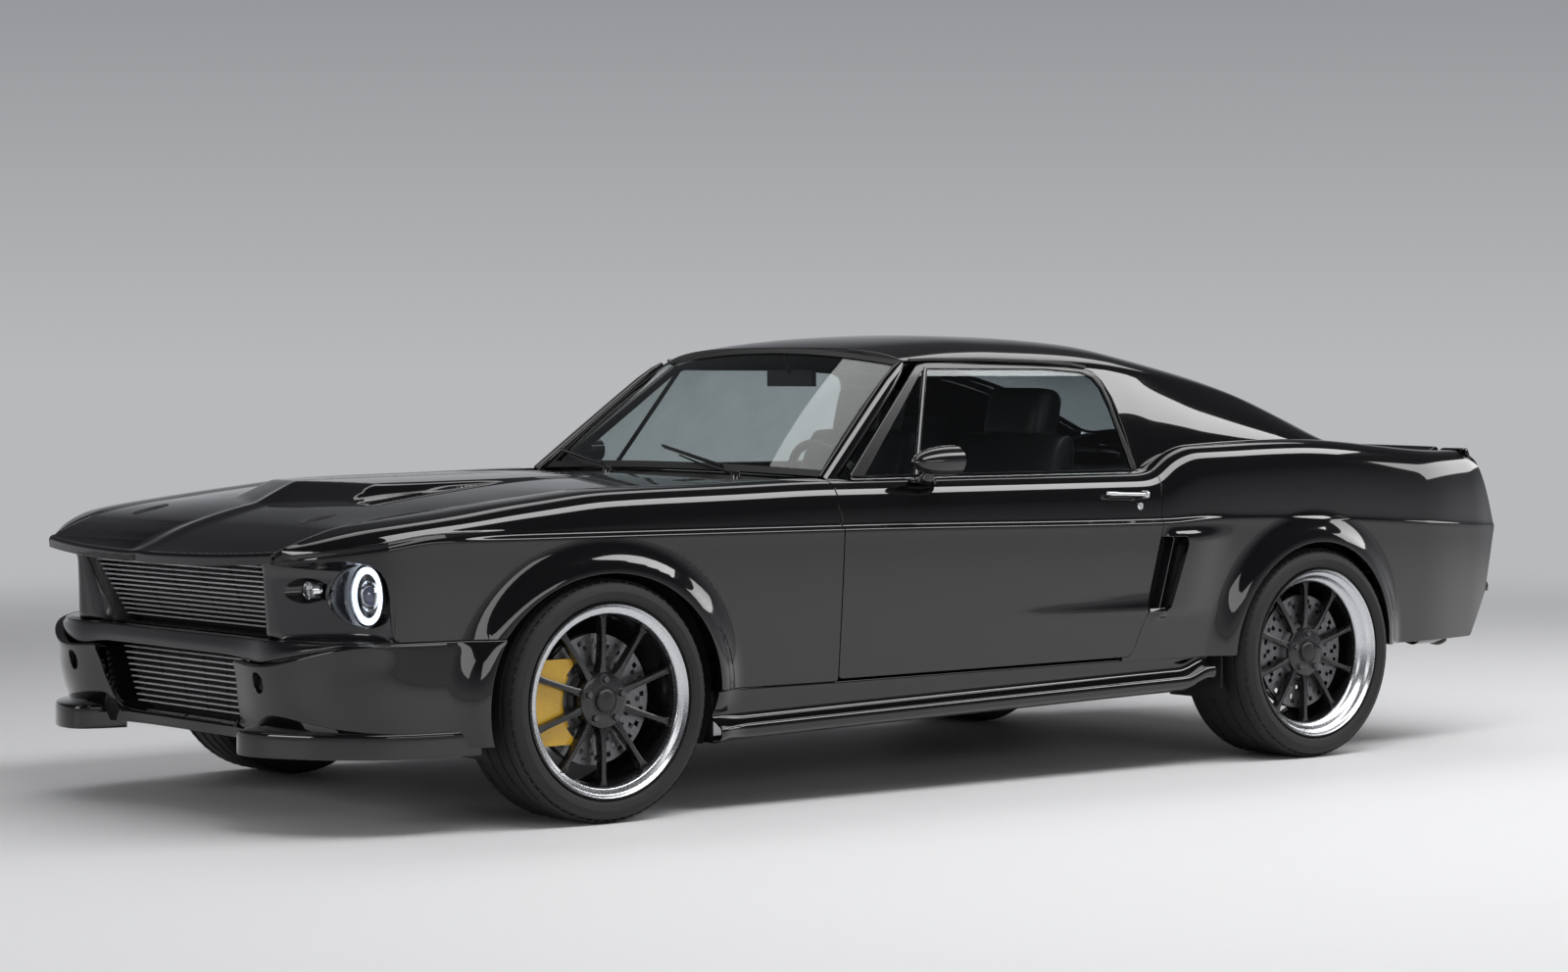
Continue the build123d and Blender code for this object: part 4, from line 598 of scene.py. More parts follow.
def fender_side(x, v):
    k = np.clip((width(x) - shut(x)) / 0.16, 0, 1)
    return side(x, v, SIDE_FOOT, lambda x, w, bz: [
        (w - 0.125 * k, bz + 0.004), ((w - 0.125 * k + shut(x)) / 2, bz + 0.0045),
        (shut(x) + 0.012 * k, bz + 0.003), (shut(x) - 0.02, bz + 0.0025)], k)


def door_side(x, v):
    return side(x, v, SIDE_FOOT,
                lambda x, w, bz: [(w - 0.115, bz + 0.0025), (w - 0.15, bz + 0.001)])


def quarter_side(x, v):
    return side(x, v, SIDE_FOOT, lambda x, w, bz: [
        (w - 0.118, bz + 0.003), (np.minimum(sail_y(x) + 0.022, w - 0.13), bz + 0.001),
        (sail_y(x) - 0.02, sail_z(x) - 0.002), (sail_y(x) - 0.06, sail_z(x) - 0.006)])


def line_side(x, z, points):
    """Signed distance inside a closed (x, z) outline listed clockwise or not."""
    best = np.full(x.shape, 9.0)
    inside = np.zeros(x.shape, bool)
    n = len(points)
    for k in range(n):
        (x0, z0), (x1, z1) = points[k], points[(k + 1) % n]
        dx, dz = x1 - x0, z1 - z0
        t = np.clip(((x - x0) * dx + (z - z0) * dz) / (dx * dx + dz * dz), 0, 1)
        best = np.minimum(best, np.hypot(x - x0 - t * dx, z - z0 - t * dz))
        crossing = ((z0 > z) != (z1 > z)) & (x < (x1 - x0) * (z - z0) / (z1 - z0 + 1e-12) + x0)
        inside ^= crossing
    return np.where(inside, best, -best)


DOOR_LINE = [(DOOR_F, SILL), (DOOR_R + 0.144, SILL + 0.008), (DOOR_R + 0.120, SILL + 0.040),
             (DOOR_R + 0.091, SILL + 0.113), (DOOR_R + 0.026, SILL + 0.414),
             (DOOR_R + 0.006, SILL + 0.510), (DOOR_R, BELT - 0.016), (DOOR_R, BELT + 0.3),
             (DOOR_F, BELT + 0.3)]
TAIL_LINE = [(0.0, 1.3), (TAIL_X + 0.150, 0.969), (TAIL_X + 0.084, 0.916), (TAIL_X + 0.004, 0.700),
             (TAIL_X + 0.045, 0.482), (TAIL_X + 0.142, 0.334), (TAIL_X + 0.16, 0.0), (0.0, 0.0)]
CHEEK_LINE = [(0.0, 2.0), (0.0, 0.33), (1.60, 0.33), (1.60, 0.512), (2.030, 0.512),
              (2.042, 0.525), (2.048, 0.580), (2.052, 0.630), (2.060, 0.668), (2.076, 0.698),
              (2.104, 0.716), (2.145, 0.724), (2.20, 0.722), (2.32, 0.708), (2.32, 2.0)]


def fender_field(x, y, z, u, v):
    f = np.minimum(x - DOOR_F - 2 * GAP, y - shut(x) - GAP)
    f = np.minimum(f, arch_distance(x, z, FRONT_X, FRONT_ARCH))
    f = np.minimum(f, z - SILL + 2 * GAP)
    f = np.minimum(f, line_side(x, z, CHEEK_LINE))
    return np.minimum(f, 0.9 * (BROW_X - x))


def door_field(x, y, z, u, v):
    return np.minimum(line_side(x, z, DOOR_LINE), y - DOOR_TOP_Y)


MOUTH_LINE = [(MOUTH_FOOT_X + 0.02, SCOOP_FOOT), (MOUTH_FOOT_X - 0.078, SCOOP_FOOT - 0.001),
              (MOUTH_FOOT_X - 0.091, SCOOP_FOOT + 0.012), (MOUTH_TOP_X - 0.102, SCOOP_TOP - 0.030),
              (MOUTH_TOP_X - 0.100, SCOOP_TOP - 0.010), (MOUTH_TOP_X - 0.088, SCOOP_TOP),
              (MOUTH_TOP_X + 0.02, SCOOP_TOP)]


def quarter_field(x, y, z, u, v):
    f = np.minimum(-line_side(x, z, DOOR_LINE) - 1.5 * GAP, -line_side(x, z, MOUTH_LINE))
    f = np.minimum(f, line_side(x, z, TAIL_LINE))
    f = np.minimum(f, arch_distance(x, z, REAR_X, REAR_ARCH))
    f = np.minimum(f, z - SILL + 2 * GAP)
    seam = np.where(x < DECK_X + 0.0045, LID_HALF + 0.0065, sail_y(x) - 0.002)
    return np.minimum(f, y - seam)


def lines(start, stop, step):
    """Even grid from start to stop, no finer than step."""
    return np.linspace(start, stop, int(abs(stop - start) / step) + 1)


def round_angles(step):
    """Angles round a full turn, the first one not repeated."""
    return lines(0, FULL_TURN, step)[:-1]


def door_back(points, normals):
    """Inner face of a door, flat below the glass."""
    back = points - normals * 0.012
    back[:, 1] = np.minimum(back[:, 1] - 0.002, np.where(points[:, 2] > BELT - 0.012,
                                                         points[:, 1] - 0.004, 0.782))
    back[:, 2] = np.minimum(back[:, 2], BELT - 0.008)
    return back


for hand in HANDS:
    panel("fender_panel", fender_side, lines(DOOR_F, 2.275, 0.0088), lines(0, 1, 0.0095),
          fender_field, PAINT, hand, stands_for=[f"fender_{hand}"], radius=0.0015)
    panel("door_panel", door_side, lines(DOOR_R - 0.02, DOOR_F + 0.02, 0.014),
          lines(0, 1, 0.0125), door_field, PAINT, hand, f"door_{hand}", [f"door_{hand}"],
          back=door_back, radius=0.0015)
    panel("quarter_skin", quarter_side, lines(TAIL_X - 0.005, DOOR_R + 0.17, 0.0088),
          lines(0, 1, 0.0095), quarter_field, PAINT, hand,
          stands_for=[f"quarter_panel_{hand}"], radius=0.0018)
    pocket = Shape()
    rows = []
    for t in (0.0, 0.0, 0.06, 0.5, 0.94, 1.0, 1.0):
        z = SCOOP_FOOT + (SCOOP_TOP - SCOOP_FOOT) * t
        ahead = MOUTH_FOOT_X + (MOUTH_TOP_X - MOUTH_FOOT_X) * t + 0.010
        skin_y = HALF - 0.018 + 0.014 * t
        sunk = 0.0 if t in (0.0, 1.0) and len(rows) in (0, 6) else 1.0
        rows.append([(ahead - back, skin_y + 0.012 * (back > 0.06) - drop * sunk, z)
                     for back, drop in ((0.0, 0.020), (0.012, 0.038), (0.050, 0.052),
                                        (0.088, 0.064), (0.104, 0.066), (0.110, 0.050),
                                        (0.111, 0.004))])
    pocket.rows(rows)
    vane = [(MOUTH_FOOT_X - 0.040, 0.845, SCOOP_FOOT), (MOUTH_TOP_X - 0.044, 0.855, SCOOP_TOP)]
    pocket.prism([vane[0], (vane[0][0] - 0.010, HALF - 0.016, SCOOP_FOOT),
                  (vane[1][0] - 0.010, HALF - 0.004, SCOOP_TOP), vane[1]], (-0.004, 0, 0))
    pocket.piece("scoop_pocket", TRIM, side=hand, slot_name="body_paint")
    Shape().block((MOUTH_FOOT_X - 0.070, HALF - 0.030, SCOOP_FOOT),
                  (MOUTH_FOOT_X - 0.008, HALF - 0.007, SCOOP_FOOT + 0.010)).piece(
        "scoop_foot", CHROME, side=hand, slot_name="bright_bars")


# ---- roof, sails and glass ------------------------------------------------------------------
def roof_skin(x, v, lower=0.0):
    """Roof at x; v runs from the foot of the left sail over the crown to the right one."""
    fy, fz, ey, ez, mz = sail_y(x), sail_z(x), roof_side(x), roof_low(x), roof_mid(x)
    tall = np.clip((ez - fz) / 0.12, 0, 1)
    half = [(fy + 0.006, fz - 0.02), (fy + 0.001, fz - 0.003)]
    for t in (0.12, 0.3, 0.5, 0.7, 0.88):
        half.append((fy + (ey - fy) * t + 0.016 * tall * 4 * t * (1 - t), fz + (ez - fz) * t))
    half.append((ey + 0.007, ez - 0.006 * tall))
    for s in (0.97, 0.86, 0.68, 0.46, 0.23, 0.0):
        half.append((ey * s, ez + (mz - ez) * (1 - 0.35 * s * s - 0.65 * s ** 6)))
    y, z = section_at(half + [(-y, z) for y, z in half[-2::-1]], x, v)
    return np.stack([x, y, z - lower], 1)


WINDOW_LINE = [(0.60, 0.60), (0.60, 0.905), (0.108, 1.2445), (0.07, 1.2470), (-0.20, 1.2475),
               (-0.45, 1.2410), (-0.60, 1.2280), (-0.645, 1.2130), (-0.672, 1.1850),
               (-0.690, 1.1300), (-0.700, 1.02), (-0.707, 0.90), (-0.72, 0.60)]
BACKLIGHT_FRONT, BACKLIGHT_REAR = -0.932, -1.700
PANE = 0.005                   # thickness of the glass


def backlight_field(x, y):
    """Positive inside the rear glass opening, a rounded rectangle in plan."""
    half = 0.500 + 0.030 * (BACKLIGHT_FRONT - x) / (BACKLIGHT_FRONT - BACKLIGHT_REAR)
    r = 0.06
    mid = (BACKLIGHT_FRONT + BACKLIGHT_REAR) / 2
    dx = np.abs(x - mid) - (BACKLIGHT_FRONT - BACKLIGHT_REAR) / 2 + r
    dy = np.abs(y) - half + r
    return r - np.hypot(np.maximum(dx, 0), np.maximum(dy, 0)) - np.minimum(
        np.maximum(dx, dy), 0)


def header(y):
    """Front edge of the roof, bowed forward in the middle."""
    return 0.119 - 0.025 * (y / 0.587) ** 2


def roof_field(x, y, z, u, v):
    f = np.minimum(header(y) - x, -line_side(x, z, WINDOW_LINE))
    f = np.minimum(f, -backlight_field(x, y))
    f = np.minimum(f, x - DECK_X)
    behind = np.where(x < BACKLIGHT_REAR + 0.03, np.abs(y) - LID_HALF + 0.002, 1.0)
    return np.minimum(f, behind)


panel("roof_skin", roof_skin, lines(-1.78, 0.13, 0.0145), lines(0, 1, 0.0095), roof_field, PAINT,
      stands_for=["roof_panel"], depth=0.02)
panel("tulip_panel", roof_skin, lines(-1.78, -1.68, 0.012), lines(0, 1, 0.0095),
      lambda x, y, z, u, v: np.minimum(np.minimum(x - DECK_X, BACKLIGHT_REAR - x),
                                       LID_HALF - 0.005 - np.abs(y)),
      PAINT, stands_for=["deck_panel"], depth=0.012)
panel("rear_glass_pane", lambda x, v: roof_skin(x, v, 0.006), lines(-1.72, -0.91, 0.02),
      lines(0, 1, 0.0125), lambda x, y, z, u, v: backlight_field(x, y) - 0.001, REAR_TINT,
      stands_for=["rear_glass"], slot_name="glass", depth=PANE)
panel("rear_glass_seal", lambda x, v: roof_skin(x, v, 0.0035), lines(-1.72, -0.91, 0.012),
      lines(0, 1, 0.008), lambda x, y, z, u, v: np.minimum(
          backlight_field(x, y) - 0.0005, 0.018 - backlight_field(x, y)), SEAL,
      slot_name="glass", depth=0.002, radius=0.001)

SCREEN_WIDE, SCREEN_TALL = 0.64, 0.52
SCREEN_FOOT = [Vector((0.552, 0.0, 0.922)), Vector((0.490, 0.700, 0.908))]
SCREEN_HEAD = [Vector((0.117, 0.0, 1.283)), Vector((0.094, 0.578, 1.243))]


def screen_point(u, v):
    """Windscreen: u across from -1 to 1, v from the cowl to the roof."""
    def edge(middle, corner):
        s = np.abs(u) ** 2.2
        return np.stack([middle.x + (corner.x - middle.x) * s, corner.y * u,
                         middle.z + (corner.z - middle.z) * np.abs(u) ** 2], 1)
    low, high = edge(*SCREEN_FOOT), edge(*SCREEN_HEAD)
    t = v[:, None]
    bow = 4 * v * (1 - v) * 0.012
    return low + (high - low) * t + np.stack([bow * 0.6, 0 * v, bow * 0.8], 1)


def in_screen(u, v):
    """Distance in from the nearest edge of the windscreen."""
    return np.minimum((1 - np.abs(u)) * SCREEN_WIDE, np.minimum(v, 1 - v) * SCREEN_TALL)


panel("windscreen_pane", screen_point, lines(-1, 1, 0.03), lines(0, 1, 0.04),
      lambda x, y, z, u, v: in_screen(u, v) - 0.004, SCREEN_GLASS,
      stands_for=["windscreen"], slot_name="glass", depth=PANE)
panel("windscreen_seal", lambda u, v: screen_point(u, v) + [0.0028, 0, 0.0022],
      lines(-1, 1, 0.02), lines(0, 1, 0.02),
      lambda x, y, z, u, v: np.minimum(in_screen(u, v) - 0.001, 0.024 - in_screen(u, v)),
      SEAL, slot_name="glass", depth=0.002, radius=0.0012)

GLASS_FOOT_Y, GLASS_HEAD = 0.745, (0.598, 1.225)    # side glass: y at the belt, (y, z) above


def glass_y(z):
    """The side glass leans in evenly from the belt to the roof."""
    lean = (GLASS_FOOT_Y - GLASS_HEAD[0]) / (GLASS_HEAD[1] - BELT)
    return GLASS_FOOT_Y - (z - BELT) * lean


GLASS_LINE = [(0.410, BELT - 0.012), (0.052, 1.214), (0.020, 1.2235), (-0.45, 1.2220),
              (-0.598, 1.2120), (-0.640, 1.1960), (-0.662, 1.1650), (-0.676, 1.10),
              (-0.690, BELT - 0.012)]
VENT_LINE = [(0.432, BELT - 0.012), (0.432, BELT + 0.012), (0.062, 1.2290), (0.020, 1.2370),
             (-0.20, 1.2390), (-0.46, 1.2340), (-0.604, 1.2240), (-0.652, 1.2060),
             (-0.676, 1.1720), (-0.690, 1.10), (-0.703, BELT - 0.012)]


def flat_side(x, rise):
    """Plane of the side glass; rise is counted from just under the belt."""
    z = BELT - 0.01 + rise
    return np.stack([x, glass_y(z), z], 1)


def glass_frame_field(x, y, z, u, v):
    inner = line_side(x, z, GLASS_LINE)
    return np.minimum(np.minimum(line_side(x, z, VENT_LINE), -inner), z - BELT)


for hand in HANDS:
    panel("door_pane", flat_side, lines(-0.72, 0.44, 0.02), lines(0, 0.36, 0.02),
          lambda x, y, z, u, v: line_side(x, z, GLASS_LINE), SIDE_GLASS, hand,
          f"door_{hand}", [f"door_glass_{hand}"], "glass", depth=PANE)
    panel("door_glass_frame", lambda u, v: flat_side(u, v) + [0, 0.004, 0],
          lines(-0.72, 0.45, 0.01), lines(0, 0.37, 0.01), glass_frame_field, TRIM,
          hand, f"door_{hand}", slot_name="glass", depth=0.014, radius=0.003)
    Shape().tube([(0.190, glass_y(0.905) + 0.001, 0.903), (0.030, glass_y(1.222) + 0.001, 1.222)],
                 0.008, squash=0.9, up=(0, 1, 0)).piece(
        "vent_post", TRIM, f"door_{hand}", side=hand, slot_name="glass")
    Shape().tube([(x, DOOR_TOP_Y + 0.001, BELT + 0.004) for x in lines(-0.690, 0.425, 0.1)],
                 0.006).piece("belt_moulding", TRIM, f"door_{hand}", side=hand,
                              slot_name="glass")
    Shape().tube([(x, float(roof_side(x)) + 0.013, z) for x, z in
                  ((0.085, 1.2470), (0.0, 1.2500), (-0.20, 1.2500), (-0.40, 1.2450),
                   (-0.55, 1.2360), (-0.615, 1.2260))], 0.0065, squash=0.8).piece(
        "drip_rail", TRIM, side=hand, slot_name="body_paint")
    foot, head = Vector((0.508, 0.716, 0.895)), Vector((0.112, 0.589, 1.2370))
    Shape().tube([foot + (head - foot) * t for t in (0, 0.3, 0.6, 0.82, 0.93, 1)],
                 (0.027, 0.027, 0.026, 0.024, 0.018, 0.008), around=20, squash=0.62,
                 up=(0.3, 1, 0.2)).piece("screen_pillar", PAINT, side=hand,
                                         slot_name="body_paint")


# ---- bonnet ---------------------------------------------------------------------------------
HOOD_FRONT = NOSE_X - 0.006
LIP_R, LIP_SWEEP = 0.012, 0.047    # radius of the curled lip, and how far it sweeps back
SCOOP_BACK = HOOD_R + 0.066


def lip_x(y):
    """Front edge of the bonnet, swept back towards its sides."""
    return HOOD_FRONT - LIP_SWEEP * (y / 0.56) ** 2


def hood_plain(x, y):
    """Height of the bonnet without its scoop."""
    s = np.abs(y) / (shut(x) - GAP)
    edge = belt(x) + 0.003
    ridge = 0.007 * np.exp(-(y / 0.035) ** 2) * step_up((x - 1.75) / 0.25)
    crown = (hood_mid(x) - edge) * (1 - s ** 2.2)
    return edge + crown + ridge * (1 - step_up((x - 2.1) / 0.25) * 0.6)


def hood_height(x, y):
    """Height of the bonnet with the wedge-shaped scoop blended on."""
    plain = hood_plain(x, y)
    a = np.abs(y)
    top = 0.9045 + 0.0125 * (1.777 - x) / 0.77 + 0.004 * (1 - (a / 0.26) ** 2)
    base_x = 1.954 - 0.108 * np.minimum(a, 0.3) / 0.3
    front = plain + (base_x - x) * 0.355 * (1 - 0.10 * a / 0.3)
    flank = plain + (0.302 - 0.03 * np.clip((1.75 - x) / 0.75, 0, 1) - a) * 1.1
    tail = plain + (x - SCOOP_BACK) * 0.12
    scoop = soft_min(soft_min(top, front), soft_min(flank, tail))
    return -soft_min(-plain, -scoop, 0.004)


def hood_skin(u, v):
    """Bonnet: u metres forward from its rear edge, v from -1 to 1 across; its lip curls."""
    x = np.minimum(HOOD_R + u, HOOD_FRONT)
    y = v * (shut(x) - GAP)
    lip = lip_x(y)
    past = np.clip(HOOD_R + u - (lip - LIP_R), 0, None)
    bend = np.minimum(past / LIP_R, math.pi / 2)
    down = np.clip(past - LIP_R * math.pi / 2, 0, None)
    x = np.minimum(HOOD_R + u, lip - LIP_R)
    z = hood_height(x, y)
    return np.stack([x + LIP_R * np.sin(bend), y, z - LIP_R * (1 - np.cos(bend)) - down], 1)


def hood_field(x, y, z, u, v):
    return np.minimum((1 - np.abs(v)) * 0.6, np.minimum(
        u - 0.002, lip_x(y) + 0.025 - HOOD_R - u))


LONG = HOOD_FRONT - HOOD_R
panel("bonnet_skin", hood_skin,
      np.concatenate([lines(0, LONG - 0.070, 0.013)[:-1],
                      lines(LONG - 0.070, LONG + 0.03, 0.003)]),
      lines(-1, 1, 0.019), hood_field, PAINT, body="bonnet", stands_for=["bonnet"],
      depth=0.014, radius=0.0015)


# ---- cowl -----------------------------------------------------------------------------------
def cowl_skin(u, v):
    """Panel between bonnet and screen: u from the bonnet back to the glass, v across."""
    half = 0.684
    y = v * half
    front = HOOD_R - 2 * GAP
    rear = 0.545 - 0.062 * np.abs(v) ** 2.2
    x = front + (rear - front) * u
    z0 = hood_plain(np.full_like(x, HOOD_R), y * 0.985) - 0.0005
    dip = 0.012 * np.sin(np.pi * np.clip((u - 0.25) / 0.75, 0, 1))
    return np.stack([x, y, z0 - dip + 0.003 * u], 1)


def vent_slots(x, y):
    """Negative inside the air slots in the cowl."""
    k = np.abs(y) % 0.030 - 0.015
    slot = np.maximum(np.abs(k) - 0.0045, np.abs(x - 0.700) - 0.045)
    return np.where((np.abs(y) > 0.09) & (np.abs(y) < 0.54), slot, 1.0)


panel("cowl_panel", cowl_skin, lines(0, 1, 0.03), lines(-1, 1, 0.0066),
      lambda x, y, z, u, v: np.minimum(np.minimum((1 - np.abs(v)) * 0.6, vent_slots(x, y)),
                                       np.minimum(u, 1 - u) * 0.4), PAINT,
      depth=0.003, radius=0.001)
# tray under the cowl slots, its near-black being painted shade for the dark space beneath them
Shape().block((0.55, -0.66, 0.845), (HOOD_R - 0.02, 0.66, 0.848)).piece(
    "cowl_tray", SHADE_BLACK, slot_name="chassis_black")

# ---- boot lid and tail panel ----------------------------------------------------------------
LID_PROFILE = [(-1.7755, 0.9775), (-1.85, 0.9705), (-1.93, 0.9625), (-2.01, 0.9525),
               (-2.08, 0.9440), (-2.130, 0.9415), (-2.165, 0.9460), (-2.192, 0.9560),
               (-2.206, 0.9635), (-2.218, 0.9625), (-2.226, 0.9500), (-2.232, 0.9350),
               (-2.238, 0.9180), (-2.236, 0.9080)]


def swept_profile(profile, crown, plan):
    """Surface along y from an (x, z) profile; u across from -1 to 1 of plan, v along it."""
    def surface(u, v):
        x, z = section_at(profile, u, v)
        y = u * plan
        return np.stack([x + 0.022 * (y / 0.7) ** 2, y, z + crown * (1 - u * u)], 1)
    return surface


panel("boot_skin", swept_profile(LID_PROFILE, 0.004, LID_HALF), lines(-1, 1, 0.04),
      lines(0, 1, 0.0105), lambda x, y, z, u, v: (1 - np.abs(u)) * 0.6, PAINT,
      body="boot_lid", stands_for=["boot_lid"], depth=0.014)


def tail_skin(u, v):
    """Concave rear panel: u across from -1 to 1, v from its foot to its top."""
    half, foot, top = 0.756, 0.484, 0.957
    y = u * half
    z = foot + (top - foot) * v
    t = np.clip((z - 0.70) / 0.2, 0, 1.4)
    x = -2.333 + 0.080 * t ** 1.15
    hollow = 0.016 * step_up((0.705 - z) / 0.03) * step_up((z - 0.50) / 0.03)
    x = x + hollow + 0.014 * step_up((np.abs(y) - 0.70) / 0.05)
    return np.stack([x, y, z], 1)


panel("tail_skin", tail_skin, lines(-1, 1, 0.018), lines(0, 1, 0.022),
      lambda x, y, z, u, v: np.minimum(
          np.minimum((1 - np.abs(u)) * 0.6, np.minimum(v, 1 - v) * 0.4),
          np.maximum(0.899 - z, np.abs(y) - LID_HALF - 0.0035)), PAINT,
      stands_for=["tail_panel"], depth=0.012)

# ---- front end ------------------------------------------------------------------------------
# plan points: lamp panel, edge under the brow, edge over the bumper; from the mouth outwards
NOSE_PLAN = np.array([
    [2.130, 0.478, 2.180, 0.490, 2.100, 0.430], [2.232, 0.498, 2.262, 0.505, 2.160, 0.444],
    [2.252, 0.508, 2.276, 0.518, 2.186, 0.450], [2.226, 0.536, 2.270, 0.560, 2.216, 0.535],
    [2.178, 0.592, 2.248, 0.632, 2.208, 0.600], [2.125, 0.645, 2.205, 0.695, 2.186, 0.665],
    [2.076, 0.690, 2.158, 0.752, 2.150, 0.730], [2.050, 0.740, 2.108, 0.798, 2.112, 0.775],
    [2.044, 0.785, 2.066, 0.822, 2.064, 0.812], [2.044, 0.812, 2.040, 0.832, 2.036, 0.826],
    [2.040, 0.832, 2.030, 0.838, 2.026, 0.830]])
BOWL_FOOT, BOWL_TOP = 0.511, 0.729


def along(plan, column, u):
    """One column of a plan curve at u, from 0 at its first row to 1 at its last."""
    return across(np.repeat(np.asarray(plan, float)[:, column:column + 1], len(u), 1),
                  np.clip(u, 0, 1))


def lamp_panel(u, v):
    """Recessed surround of the lamps: u outwards along the plan, v from foot to top."""
    px, py, tx, ty, bx, by = [along(NOSE_PLAN, i, u) for i in range(6)]
    drop = BOWL_TOP - BOWL_FOOT
    lean_in = drop * (1 - v) * 0.33 * step_up((0.35 - u) / 0.3)
    px, py = px - lean_in, py - lean_in * 0.9
    heights = [0, 0.001, 0.004, 0.02, 0.06, 0.09, 0.12, 0.15, drop - 0.022, drop - 0.004, drop]
    rows_x = [bx, bx] + [px] * 7 + [tx - 0.004, tx]
    rows_y = [by, by] + [py] * 7 + [ty - 0.004, ty]
    rows_z = [np.full_like(u, BOWL_FOOT + h) for h in heights]
    return np.stack([across(np.array(r), v) for r in (rows_x, rows_y, rows_z)], 1)


LAMP_AT, LAMP_R = Vector((2.058, 0.724, 0.628)), 0.083       # headlamp
SMALL_AT, SMALL_R = Vector((2.168, 0.604, 0.641)), 0.034     # driving lamp in its oval cup


def lamp_field(x, y, z, u, v):
    big = np.hypot(y - LAMP_AT.y, z - LAMP_AT.z) - LAMP_R
    small = np.hypot((y - SMALL_AT.y) / 1.35, z - SMALL_AT.z) - SMALL_R
    return np.minimum(np.where(u > 0.45, big, 1.0), np.where(u > 0.15, small, 1.0))


PANEL_U = np.linspace(0.25, 1, 200)


def panel_x(y):
    """Depth of the lamp surround at y."""
    return float(np.interp(y, along(NOSE_PLAN, 1, PANEL_U), along(NOSE_PLAN, 0, PANEL_U)))


def sweep_plan(plan, section, u, v):
    """Surface swept along a plan curve: section(u, v) gives (outwards, z)."""
    px, py = along(plan, 0, u), along(plan, 1, u)
    dx = along(plan, 0, u + 1e-3) - along(plan, 0, u - 1e-3)
    dy = along(plan, 1, u + 1e-3) - along(plan, 1, u - 1e-3)
    length = np.hypot(dx, dy) + 1e-12
    out, z = section(u, v)
    return np.stack([px + out * dy / length, py - out * dx / length, z], 1)


def constant_rows(values, u, v):
    """Value at v from control rows that may be numbers or arrays like u."""
    return across(np.array([np.broadcast_to(a, u.shape) for a in values]), v)


BUMPER_PLAN = [(2.236, -0.20), (2.236, 0.0), (2.234, 0.20), (2.232, 0.36), (2.236, 0.44),
               (2.244, 0.50), (2.240, 0.56), (2.218, 0.64), (2.178, 0.715), (2.122, 0.785),
               (2.060, 0.838)]


def blade_foot(u):
    """Lower edge of the bumper blade: deep beside the mouth, tapering to its tip."""
    return 0.461 - 0.014 * np.exp(-((u - 0.46) / 0.12) ** 2) + 0.040 * step_up((u - 0.5) / 0.5)


def bumper_section(u, v):
    b = blade_foot(u)
    out = [-0.090, -0.014, -0.004, 0.001, 0.002, 0.002, 0.000, -0.004, -0.006, -0.0075, -0.012,
           -0.030, -0.060, -0.090]
    top = 0.5085
    z = [b + 0.001, b, b, b, b + 0.004, b + 0.012, (b + top) / 2, top - 0.010, top - 0.003, top,
         top + 0.0015, top + 0.003, top + 0.004, top + 0.004]
    return constant_rows(out, u, v), constant_rows(z, u, v)


VALANCE_TOP_PLAN = [(2.240, -0.2), (2.240, 0.0), (2.240, 0.20), (2.244, 0.34), (2.256, 0.42),
                    (2.262, 0.48), (2.258, 0.56), (2.234, 0.64), (2.190, 0.725),
                    (2.128, 0.795), (2.062, 0.833), (1.975, 0.850), (1.86, 0.860),
                    (1.72, 0.864)]
VALANCE_LOW_PLAN = [(2.172, -0.2), (2.172, 0.0), (2.172, 0.18), (2.178, 0.30), (2.200, 0.40),
                    (2.210, 0.48), (2.204, 0.56), (2.180, 0.65), (2.140, 0.725),
                    (2.085, 0.788), (2.020, 0.830), (1.950, 0.850), (1.85, 0.858),
                    (1.74, 0.862)]
VALANCE_FOOT = 0.2365


def valance_top(u):
    """Upper edge of the valance, level with the blade's foot and rising to its tip."""
    return 0.452 - 0.006 * np.exp(-((u - 0.40) / 0.1) ** 2) + 0.0575 * step_up((u - 0.40) / 0.37)


def valance_skin(u, v):
    """Lower front apron: u from the middle round to the wheel, v from foot to top."""
    high = [along(VALANCE_TOP_PLAN, i, u) for i in (0, 1)]
    low = [along(VALANCE_LOW_PLAN, i, u) for i in (0, 1)]
    t = [-0.02, 0.0, 0.10, 0.25, 0.42, 0.60, 0.76, 0.88, 0.955, 0.985, 1.0, 1.0]
    ahead = 1 - step_up((u - 0.66) / 0.2)
    swell = [0, 0.0, 0.004, 0.010, 0.013, 0.012, 0.008, 0.005 + 0.004 * ahead,
             0.003 + 0.008 * ahead, 0.001 + 0.009 * ahead, 0.004 * ahead, -0.03]
    rx = np.array([low[0] + (high[0] - low[0]) * a + b for a, b in zip(t, swell)])
    ry = np.array([low[1] + (high[1] - low[1]) * a + b * 0.6 for a, b in zip(t, swell)])
    rz = np.array([VALANCE_FOOT + (valance_top(u) - VALANCE_FOOT) * a for a in t])
    x, y, z = across(rx, v), across(ry, v), across(rz, v)
    y = y + flare_bump(x, z, FRONT_X, FRONT_ARCH) * step_up((y - 0.80) / 0.05)
    return np.stack([x, y, z], 1)


LOWER_MOUTH = [(-0.05, 0.60), (0.385, 0.60), (0.383, 0.430), (0.370, 0.375), (0.350, 0.310),
               (0.338, 0.288), (0.318, 0.274), (0.270, 0.268), (0.240, 0.266), (-0.05, 0.266)]
TURN_LAMP = (0.508, 0.398)     # its (y, z) in the valance


def valance_field(x, y, z, u, v):
    f = np.minimum(-line_side(y, z, LOWER_MOUTH), arch_distance(x, z, FRONT_X, FRONT_ARCH))
    hole = np.hypot(y - TURN_LAMP[0], (z - TURN_LAMP[1]) / 1.15) - 0.026
    return np.minimum(np.minimum(f, np.where(x > 2.15, hole, 1.0)), y + 0.0002)


